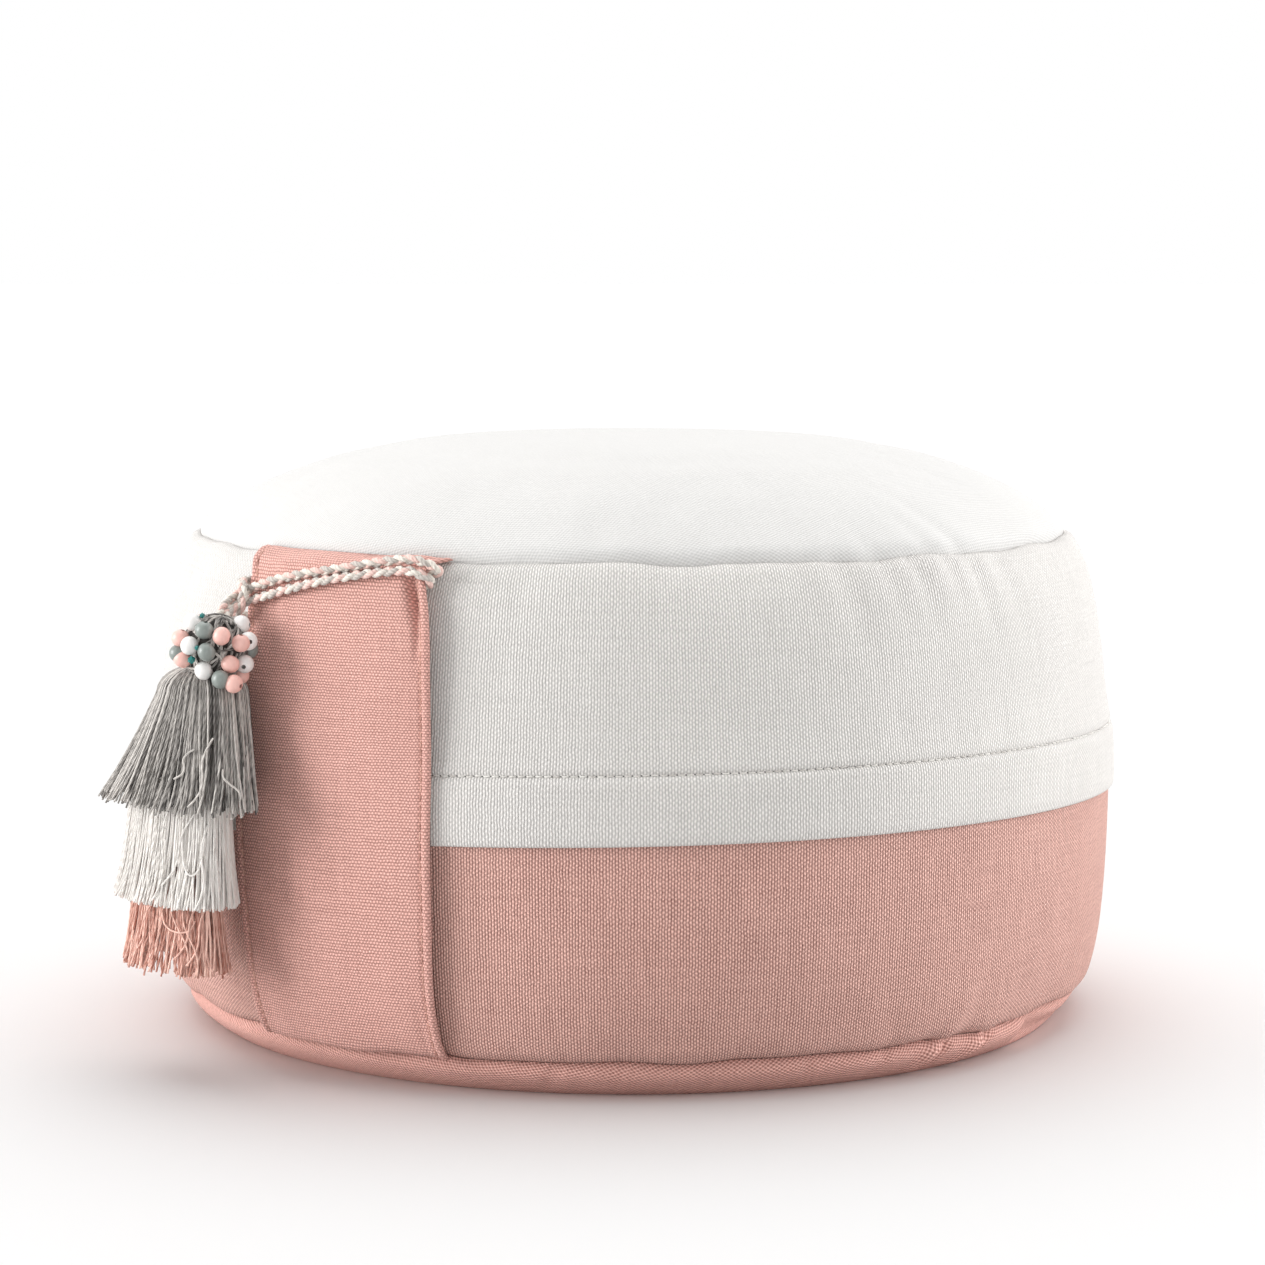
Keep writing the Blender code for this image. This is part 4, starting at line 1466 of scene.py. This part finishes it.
@dataclass
class HangLoop:
    """The plaited cord: hitched round the strap, with both ends in the tassel's head."""

    form: CushionForm
    strand: float = 0.98
    sway: float = 0.88
    dip: float = 0.46
    plait: float = 11.6
    step: float = 0.55

    ROUTE = (  # azimuth, height, distance out
        (-44.4, 151.6, 23.0),
        (-45.2, 153.2, 19.4),
        (-46.0, 154.8, 15.6),
        (-46.4, 156.0, 12.0),
        (-46.2, 156.6, 10.2),
        (-45.4, 157.4, 9.4),
        (-41.5, 160.6, 9.4),
        (-36.0, 164.8, 9.7),
        (-30.8, 167.9, 9.8),
        (-27.0, 169.3, 9.8),
        (-25.0, 169.7, 10.2),
        (-23.6, 168.9, 9.6),
        (-22.8, 167.6, 7.5),
        (-22.8, 166.1, 5.0),
        (-24.0, 164.9, 2.2),
        (-26.6, 162.9, 2.2),
        (-34.0, 159.0, 2.4),
        (-42.0, 155.2, 2.4),
        (-46.8, 152.2, 2.6),
        (-48.4, 151.2, 5.0),
        (-48.2, 151.2, 8.6),
        (-47.0, 152.0, 11.4),
        (-46.0, 153.9, 12.7),
        (-45.6, 156.6, 13.0),
        (-45.7, 159.6, 13.0),
        (-46.3, 161.8, 12.7),
        (-47.9, 162.9, 9.8),
        (-49.0, 162.8, 5.8),
        (-48.0, 162.6, 2.8),
        (-45.0, 162.9, 2.4),
        (-38.0, 164.9, 2.4),
        (-30.0, 167.2, 2.4),
        (-24.2, 168.2, 2.4),
        (-22.5, 169.1, 4.8),
        (-21.9, 170.3, 7.2),
        (-22.3, 171.5, 9.1),
        (-23.4, 172.4, 10.0),
        (-25.0, 172.9, 10.0),
        (-28.5, 172.0, 10.0),
        (-33.7, 169.4, 9.9),
        (-38.0, 167.0, 9.9),
        (-42.1, 164.5, 9.7),
        (-45.0, 162.0, 9.3),
        (-46.6, 160.4, 9.5),
        (-47.2, 158.9, 11.6),
        (-47.0, 157.2, 14.8),
        (-46.2, 155.4, 18.6),
        (-45.2, 152.8, 22.4),
    )

    def build(self, dyes: Sequence[bpy.types.Material]) -> None:
        """Plaits three strands along the route.

        Args:
            dyes: the strands' finishes.
        """
        azimuth, height, out = np.array(self.ROUTE).T
        route = evenly(catmull(self.form.beside(azimuth, height, out), 14), self.step)
        along = np.gradient(route, axis=0)
        along /= np.linalg.norm(along, axis=1, keepdims=True)
        side = self.carried(along)
        other = np.cross(along, side)
        run = np.arange(len(route)) * self.step
        names = ("cord_strand_cream", "cord_strand_pink", "cord_strand_grey")
        for i, (name, dye) in enumerate(zip(names, dyes)):
            turn = run / self.plait * math.tau + i * math.tau / 3.0
            sway = self.sway * np.sin(turn)[:, None] * side
            dip = self.dip * np.sin(2.0 * turn)[:, None] * other
            yarn = Yarn(self.strand, 3, 5.4, sides=9, lobe=0.08)
            piece = yarn.spin(name, [route + sway + dip], dye, 30 + i)
            attach(piece, "hang_loop")

    @staticmethod
    def carried(along: Array) -> Array:
        """Carries a direction along the route without turning it.

        Args:
            along: the route's unit direction at each point.

        Returns:
            A unit direction square to it at each point.
        """
        side = np.empty_like(along)
        first = np.cross(along[0], (0.0, 0.0, 1.0))
        side[0] = first / np.linalg.norm(first)
        for i in range(1, len(along)):
            kept = side[i - 1] - along[i] * (side[i - 1] @ along[i])
            side[i] = kept / np.linalg.norm(kept)
        return side


class Paint(Enum):
    """The beads' colours."""

    WHITE = "white"
    PINK = "pink"
    GREY = "grey"
    TEAL = "teal"


@dataclass
class BeadCluster:
    """Wooden beads netted with yarn round the tassel's head."""

    middle: Place = (-135.1, -135.5, 143.0)
    half: Place = (11.6, 11.0, 11.6)
    core: Place = (9.6, 9.0, 10.2)
    netted: Place = (10.1, 9.5, 10.9)
    loops: int = 34
    radius: float = 3.05
    hole: float = 0.855

    BEADS = (  # across, up, paint, the way its hole faces: across, forward, up
        (-6.8, 9.2, Paint.WHITE, (0.9, 0.1, 0.5)),
        (-2.6, 7.0, Paint.GREY, (0.2, 0.2, 1.0)),
        (3.1, 5.2, Paint.PINK, (0.9, 0.1, -0.3)),
        (8.9, 2.6, Paint.PINK, (0.1, 0.2, 1.0)),
        (11.0, 3.0, Paint.WHITE, (0.35, 1.0, 0.0)),
        (-10.8, 3.9, Paint.PINK, (0.3, 0.1, 1.0)),
        (-7.4, 2.0, Paint.WHITE, (1.0, 0.45, -0.1)),
        (-1.6, 0.2, Paint.GREY, (0.9, 0.0, 0.5)),
        (-10.2, -2.6, Paint.PINK, (0.6, 0.1, 0.8)),
        (-11.6, -1.0, Paint.GREY, (0.2, 0.1, 1.0)),
        (-2.9, -6.0, Paint.WHITE, (1.0, 0.1, 0.2)),
        (5.7, -3.9, Paint.PINK, (0.4, 0.0, 1.0)),
        (9.8, -4.4, Paint.WHITE, (0.0, 1.0, -0.25)),
        (2.8, -8.6, Paint.GREY, (1.0, 0.0, 0.1)),
        (7.1, -10.0, Paint.PINK, (0.9, 0.5, -0.2)),
    )
    TEAL = ((-6.6, -2.4, 1.4), (-3.6, 11.4, 1.0), (-4.6, 1.6, 0.9))  # across, up, radius
    FILL = 60
    APART = 6.0

    def depth(self, across: float, up: float) -> float:
        """Finds how far towards the front the egg's surface lies.

        Args:
            across: the place's distance across from the middle.
            up: its distance up from the middle.

        Returns:
            The distance forward from the middle.
        """
        rest = 1.0 - (across / self.half[0]) ** 2 - (up / self.half[2]) ** 2
        return self.half[1] * math.sqrt(max(rest, 1.1 if up < -8.0 else 0.12))

    def places(self) -> list[tuple[Array, Paint, Array]]:
        """Places the beads that show, and then the ones that fill the back.

        Returns:
            Each bead's centre, its paint and the way its hole faces.
        """
        middle = np.array(self.middle)
        found = []
        for across, up, paint, (right, forward, rise) in self.BEADS:
            centre = middle + (across, -self.depth(across, up), up)
            found.append((centre, paint, np.array([right, -forward, rise])))
        paints = (Paint.WHITE, Paint.PINK, Paint.GREY)
        rng = np.random.default_rng(41)
        for i in range(self.FILL):
            up = 0.7 - 1.56 * (i + 0.5) / self.FILL
            turn = i * math.pi * (3.0 - math.sqrt(5.0))
            level = math.sqrt(1.0 - up * up)
            centre = middle + np.array(self.half) * (level * math.cos(turn), level * math.sin(turn), up)
            if all(np.linalg.norm(centre - other) > self.APART for other, _, _ in found):
                found.append((centre, paints[i % 3], rng.normal(size=3)))
        return found

    def bead(self, centre: Array, facing: Array) -> bmesh.types.BMesh:
        """Turns one bead with a hole through it.

        Args:
            centre: where it lies.
            facing: the way its hole faces.

        Returns:
            The bead's mesh.
        """
        angles = np.linspace(0.24, math.pi - 0.24, 13)
        profile = [(self.radius * math.sin(a), self.radius * 0.94 * math.cos(a)) for a in angles]
        profile += [(self.hole, side * self.radius * 0.86) for side in (-1.0, 1.0)]
        bm = bmesh.new()
        verts = [bm.verts.new((r, 0.0, z)) for r, z in profile]
        edges = [bm.edges.new((verts[i - 1], verts[i])) for i in range(len(verts))]
        bmesh.ops.spin(
            bm, geom=verts + edges, cent=(0, 0, 0), axis=(0, 0, 1), angle=math.tau, steps=24, use_merge=True
        )
        bmesh.ops.remove_doubles(bm, verts=bm.verts, dist=0.002)
        turned = Vector(facing).to_track_quat("Z", "Y").to_matrix()
        bmesh.ops.rotate(bm, cent=(0, 0, 0), matrix=turned, verts=bm.verts)
        bmesh.ops.translate(bm, vec=centre, verts=bm.verts)
        return bm

    def build(self, paints: dict[Paint, bpy.types.Material], yarn: bpy.types.Material) -> None:
        """Makes the beads, one joined piece for each paint, and the yarn that nets them.

        Args:
            paints: each paint's finish.
            yarn: the finish of the yarn.
        """
        for paint, material in paints.items():
            joined = bmesh.new()
            for centre, its_paint, facing in self.places():
                if its_paint is paint:
                    self.join(joined, self.bead(centre, facing))
            if paint is Paint.TEAL:
                for across, up, radius in self.TEAL:
                    self.join(joined, self.chip(across, up, radius))
            piece = finish(f"beads_{paint.value}", joined, material, sharp=40.0)
            attach(piece, "bead_cluster")
        self.net(yarn)

    @staticmethod
    def join(whole: bmesh.types.BMesh, part: bmesh.types.BMesh) -> None:
        """Adds a part to a mesh.

        Args:
            whole: the mesh that grows.
            part: the mesh that is added, which is freed.
        """
        mesh = bpy.data.meshes.new("part")
        part.to_mesh(mesh)
        part.free()
        whole.from_mesh(mesh)
        bpy.data.meshes.remove(mesh)

    def chip(self, across: float, up: float, radius: float) -> bmesh.types.BMesh:
        """Cuts a small faceted glass bead, between the wooden ones.

        Args:
            across: its distance across from the middle.
            up: its distance up from the middle.
            radius: its own radius.

        Returns:
            The bead's mesh.
        """
        bm = bmesh.new()
        bmesh.ops.create_icosphere(bm, subdivisions=1, radius=radius)
        forward = self.depth(across, up) + 1.2
        bmesh.ops.translate(bm, vec=np.array(self.middle) + (across, -forward, up), verts=bm.verts)
        return bm

    def net(self, yarn: bpy.types.Material) -> None:
        """The wound head under the beads, and loops of yarn between them.

        Args:
            yarn: their finish.
        """
        bm = bmesh.new()
        bmesh.ops.create_icosphere(bm, subdivisions=4, radius=1.0)
        points = points_of(bm)
        lump = 1.0 + 0.03 * np.sin(points[:, 0] * 9.0 + 1.0) * np.sin(points[:, 2] * 8.0)
        move_to(bm, points * lump[:, None] * self.core + self.middle)
        core = finish("tassel_head_core", bm, yarn)
        attach(core, "bead_cluster")
        rng = np.random.default_rng(43)
        lines = []
        for _ in range(self.loops):
            axis = rng.normal(size=3) * (1.0, 1.0, 0.35)
            axis /= np.linalg.norm(axis)
            first = np.cross(axis, (0.0, 0.0, 1.0))
            first /= np.linalg.norm(first)
            second = np.cross(axis, first)
            turn = np.linspace(0.0, math.tau * rng.uniform(0.75, 1.0), 60)
            size = 1.0 + 0.035 * np.sin(3.0 * turn + rng.uniform(0.0, 6.0))
            ring = (np.cos(turn)[:, None] * first + np.sin(turn)[:, None] * second) * size[:, None]
            ring = ring + axis * rng.uniform(-0.28, 0.28)
            lines.append(ring * self.netted + self.middle)
        piece = Yarn(0.42, 2, 2.6).spin("bead_net_yarn", lines, yarn, 44)
        attach(piece, "bead_cluster")


@dataclass(frozen=True)
class Hang:
    """Where a tier's strands start or end: an azimuth, radius and height, and the bundle's half widths."""

    azimuth: float
    radius: float
    height: float
    half: tuple[float, float]


@dataclass
class TasselTier:
    """One tier of the tassel: a dome of yarn ends that fall from under what is above it."""

    form: CushionForm
    name: str
    node: str
    root: Hang
    tip: Hang
    dome: float
    layers: tuple[tuple[float, int], ...]
    seed: int
    strays: tuple[tuple[float, float, float, float, float], ...] = ()
    flare: float = 0.4
    uneven: float = 0.9
    sway: float = 1.0
    step: float = 2.2
    thick: float = 0.34
    stray_shade: float = 0.85

    STRAP_EDGE = -48.5
    OVER_STRAP = 7.4
    OVER_SIDE = 2.2

    def middle(self, share: Array, grow: Array) -> tuple[Array, Array, Array]:
        """Follows the bundle's middle.

        Args:
            share: places along the drop, from 0 at the root to 1 at the tips.
            grow: how far the bundle has spread there, from 0 to 1.

        Returns:
            The middle at each place, and its unit directions across and outward.
        """
        azimuth = np.radians(self.root.azimuth + (self.tip.azimuth - self.root.azimuth) * grow)
        radius = self.root.radius + (self.tip.radius - self.root.radius) * grow
        height = self.root.height + (self.tip.height - self.root.height) * share
        sine, cosine = np.sin(azimuth), np.cos(azimuth)
        zero = np.zeros_like(sine)
        centre = np.stack([radius * sine, -radius * cosine, height], axis=-1)
        return centre, np.stack([cosine, sine, zero], axis=-1), np.stack([sine, -cosine, zero], axis=-1)

    def strand(self, rng: np.random.Generator, turn: float, layer: float) -> Array:
        """Lays one strand over the dome, out to the rim and down to its own uneven tip.

        Args:
            rng: draws what is uneven.
            turn: the angle round the bundle at which it hangs.
            layer: how far out it lies, from 0 in the middle to 1 on the outside.

        Returns:
            Its line.
        """
        drop = self.root.height - self.tip.height
        reach = 1.0 + rng.normal(0.0, self.uneven) / drop
        share = np.linspace(-self.dome / drop, reach, 50)
        fall = np.clip(share, 0.0, None)
        grow = (1.0 - self.flare) * fall + self.flare * fall**3
        rise = np.clip(-share * drop / self.dome, 0.0, 1.0)
        closing = np.sqrt(np.maximum(1.0 - rise**2 * 0.93, 0.0))
        phase = rng.uniform(0.0, math.tau, 3)
        wander = 0.05 * np.sin(3.2 * fall + phase[0]) * fall + rng.normal(0.0, 0.05) * fall**1.5
        angle = turn + wander * self.sway
        wobble = 0.3 * np.sin(9.0 * fall + phase[1]) * fall + 0.12 * np.sin(23.0 * fall + phase[2])
        centre, across, outward = self.middle(share, grow)
        half = [a + (b - a) * grow for a, b in zip(self.root.half, self.tip.half)]
        width = (layer * half[0] * closing * np.cos(angle) + wobble)[:, None]
        depth = (layer * half[1] * closing * np.sin(angle) + wobble * 0.6)[:, None]
        line = evenly(centre + across * width + outward * depth, self.step)
        return self.kept_clear(line)

    def kept_clear(self, line: Array) -> Array:
        """Pushes a line's points out of the strap and the cushion's side.

        Args:
            line: the points, which are moved.

        Returns:
            The same points.
        """
        radius = np.hypot(line[:, 0], line[:, 1])
        azimuth = np.degrees(np.arctan2(line[:, 0], -line[:, 1]))
        clear = np.where(azimuth > self.STRAP_EDGE, self.OVER_STRAP, self.OVER_SIDE)
        least = self.form.side_profile.read(line[:, 2]) + clear
        push = np.maximum(least / radius, 1.0)
        line[:, :2] *= push[:, None]
        return line

    def stray(self, turn: float, start: float, end: float, shift: float, loop: float) -> Array:
        """A loose thread that crosses the others on the outside.

        Args:
            turn: the angle round the bundle at which it starts, in degrees.
            start: its start, as a share of the drop.
            end: its end, as a share of the drop.
            shift: how far round it drifts, in degrees.
            loop: how much farther it falls between, before it comes back up.

        Returns:
            Its line.
        """
        t = np.linspace(0.0, 1.0, 40)
        share = start + (end - start) * t + loop * np.sin(math.pi * t)
        angle = np.radians(turn + shift * t + 4.0 * np.sin(math.tau * t))
        grow = (1.0 - self.flare) * share + self.flare * share**3
        centre, across, outward = self.middle(share, grow)
        lift = 0.5 + 0.9 * np.sin(math.pi * t)
        wide, deep = ((a + (b - a) * grow) for a, b in zip(self.root.half, self.tip.half))
        width = (wide + lift) * np.cos(angle)
        depth = (deep + lift) * np.sin(angle)
        return self.kept_clear(evenly(centre + across * width[:, None] + outward * depth[:, None], 1.0))

    def build(self, dye: bpy.types.Material) -> None:
        """Makes the tier in one joined piece, with a few stray threads over it.

        Args:
            dye: its finish.
        """
        rng = np.random.default_rng(self.seed)
        lines = [self.stray(*row) for row in self.strays]
        for layer, count in self.layers:
            for i in range(count):
                turn = (i + rng.uniform(-0.35, 0.35)) / count * math.tau
                turn += 0.05 * math.sin(5.0 * turn + self.seed) + 0.03 * math.sin(11.0 * turn)
                lines.append(self.strand(rng, turn, layer * rng.uniform(0.965, 1.02)))
        shades = [self.stray_shade] * len(self.strays)
        piece = Yarn(self.thick, 2, 3.2).spin(self.name, lines, dye, self.seed + 50, shades)
        attach(piece, self.node)


@dataclass
class Studio:
    """The floor, the light and the camera."""

    walls: float = 1.0
    front_wall: float = 0.31
    floor_white: float = 0.9
    floor_half: float = 80.0  # metres
    unlit: bpy.types.Collection | None = None

    def build(self) -> None:
        """Sets the stage."""
        self.floor()
        self.sky()
        self.overhead()
        self.softbox("left_softbox", (-1.8, -0.5, 0.6), (0.0, 0.0, 0.1), 1.1, 36.0)
        self.softbox("right_softbox", (1.7, 0.0, 0.7), (0.0, 0.0, 0.1), 1.2, 28.0)
        self.softbox("front_fill", (0.2, -2.1, 0.36), (0.0, 0.0, 0.05), 0.7, 6.0)
        self.camera()
        scene = bpy.context.scene
        scene.view_settings.view_transform = "Standard"
        scene.view_settings.look = "None"
        scene.view_settings.exposure = 0.0

    def floor(self) -> None:
        """A plain pale floor."""
        shader = Shader("pale_floor")
        shader.constant(Roughness=0.9, Specular_IOR_Level=0.1)
        shader.surface.inputs["Base Color"].default_value = opaque((self.floor_white,) * 3)
        bm = bmesh.new()
        bmesh.ops.create_grid(bm, x_segments=2, y_segments=2, size=self.floor_half)
        mesh = bpy.data.meshes.new("floor")
        bm.to_mesh(mesh)
        bm.free()
        mesh.materials.append(shader.material)
        floor = bpy.data.objects.new("floor", mesh)
        bpy.context.scene.collection.objects.link(floor)
        self.unlit = bpy.data.collections.new("softboxes_leave_out")
        self.unlit.objects.link(floor)
        self.unlit.collection_objects[0].light_linking.link_state = "EXCLUDE"

    def overhead(self) -> None:
        """A very soft light from straight above, even over the whole floor."""
        light = bpy.data.lights.new("overhead", "SUN")
        light.energy = 0.95
        light.angle = math.radians(60.0)
        lamp = bpy.data.objects.new("overhead", light)
        lamp.rotation_euler = (math.radians(-18.0), 0.0, 0.0)
        bpy.context.scene.collection.objects.link(lamp)

    def sky(self) -> None:
        """White all round, and dimmer from the front, as a studio's walls are."""
        world = bpy.data.worlds.new("white_walls")
        bpy.context.scene.world = world
        world.use_nodes = True
        tree = world.node_tree
        background = tree.nodes["Background"]
        direction = tree.nodes.new("ShaderNodeTexCoord")
        split = tree.nodes.new("ShaderNodeSeparateXYZ")
        tree.links.new(direction.outputs["Generated"], split.inputs[0])
        ramp = tree.nodes.new("ShaderNodeMapRange")
        ramp.interpolation_type = "SMOOTHSTEP"
        tree.links.new(split.outputs[1], ramp.inputs["Value"])
        limits = {"From Min": -1.0, "From Max": 0.0, "To Min": self.front_wall, "To Max": self.walls}
        for name, value in limits.items():
            ramp.inputs[name].default_value = value
        tree.links.new(ramp.outputs["Result"], background.inputs["Strength"])
        background.inputs["Color"].default_value = opaque((1.0, 1.0, 1.0))

    def softbox(self, name: str, place: Place, aim: Place, size: float, power: float) -> None:
        """A square area light that falls on the cushion and not on the floor.

        Args:
            name: its name.
            place: where it stands, in metres.
            aim: what it points at.
            size: the length of its sides.
            power: its power in watts.
        """
        light = bpy.data.lights.new(name, "AREA")
        light.size = size
        light.energy = power
        lamp = bpy.data.objects.new(name, light)
        lamp.location = place
        lamp.rotation_euler = (Vector(aim) - Vector(place)).to_track_quat("-Z", "Y").to_euler()
        bpy.context.scene.collection.objects.link(lamp)
        lamp.light_linking.receiver_collection = self.unlit

    def camera(self) -> None:
        """The photograph's angle."""
        lens = bpy.data.cameras.new("front_camera")
        lens.lens = 96.25
        lens.sensor_width = 36.0
        camera = bpy.data.objects.new("front_camera", lens)
        camera.location = (0.0, -1.225, 0.2643)
        camera.rotation_euler = (math.pi / 2 - 0.106, 0.0, 0.0)
        bpy.context.scene.collection.objects.link(camera)
        bpy.context.scene.camera = camera


def main() -> None:
    """Builds the cushion's pieces in order and the studio round them."""
    logging.basicConfig(level=logging.INFO, format="%(message)s")
    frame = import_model()
    Studio().build()
    form = CushionForm()
    form.plump = Plumpness(frame["nodes"]["cushion_body"])
    pink, white = PINK_CANVAS.material(), WHITE_CANVAS.material()
    panels = ClothPanels(form)
    panels.filled_side(PINK_SIDE_LIT_COPY.material())
    panels.upper_band(white)
    panels.top_panel(CROWN_CANVAS_SHADED_COPY.material())
    panels.base_panel(PINK_BASE_LIT_COPY.material())
    panels.hem_stitches(WHITE_THREAD.material(), HOLE_SHADE.material())
    HandleStrap(form).build(pink, PINK_THREAD.material())
    HangLoop(form).build([dye.material() for dye in (CORD_CREAM, CORD_PINK, CORD_GREY)])
    grey = GREY_YARN.material()
    paints = {
        Paint.WHITE: BEAD_WHITE.material(),
        Paint.PINK: BEAD_PINK.material(),
        Paint.GREY: BEAD_GREY.material(),
        Paint.TEAL: BEAD_TEAL.material(),
    }
    BeadCluster().build(paints, grey)
    TasselTier(
        form,
        "grey_strands",
        "tier_grey",
        Hang(-46.9, 191.8, 128.5, (17.0, 13.0)),
        Hang(-48.7, 197.8, 92.8, (36.8, 17.6)),
        8.5,
        ((1.0, 240), (0.94, 180), (0.8, 90)),
        61,
        ((20.0, 0.62, 0.9, -16.0, 0.0), (48.0, 0.45, 0.72, 14.0, 0.0), (30.0, 0.35, 0.95, 18.0, 0.0)),
        flare=0.12,
        sway=1.5,
    ).build(grey)
    TasselTier(
        form,
        "cream_strands",
        "tier_cream",
        Hang(-48.75, 196.9, 94.5, (24.3, 10.4)),
        Hang(-49.8, 196.8, 60.0, (29.2, 15.0)),
        2.0,
        ((1.0, 230), (0.94, 170), (0.8, 90)),
        62,
        (
            (52.0, 0.05, 0.06, -24.0, 0.62),
            (66.0, 0.0, 0.95, 8.0, 0.0),
            (40.0, 0.1, 0.8, 28.0, 0.0),
            (24.0, 0.2, 1.0, 10.0, 0.0),
        ),
        uneven=0.45,
    ).build(CREAM_YARN.material())
    TasselTier(
        form,
        "salmon_strands",
        "tier_salmon",
        Hang(-49.9, 196.4, 67.0, (20.9, 9.4)),
        Hang(-50.2, 196.2, 37.8, (25.4, 13.2)),
        2.0,
        ((1.0, 200), (0.93, 150), (0.8, 80)),
        63,
        (
            (70.0, 0.35, 0.4, -40.0, 0.16),
            (20.0, 0.15, 0.85, 34.0, 0.0),
            (10.0, 0.2, 0.9, 30.0, 0.0),
            (60.0, 0.1, 0.9, -22.0, 0.0),
            (44.0, 0.2, 1.0, -16.0, 0.0),
            (80.0, 0.2, 0.8, 20.0, 0.0),
        ),
        sway=2.0,
        uneven=0.7,
        stray_shade=0.6,
    ).build(SALMON_YARN.material())


if __name__ == "__main__":
    main()
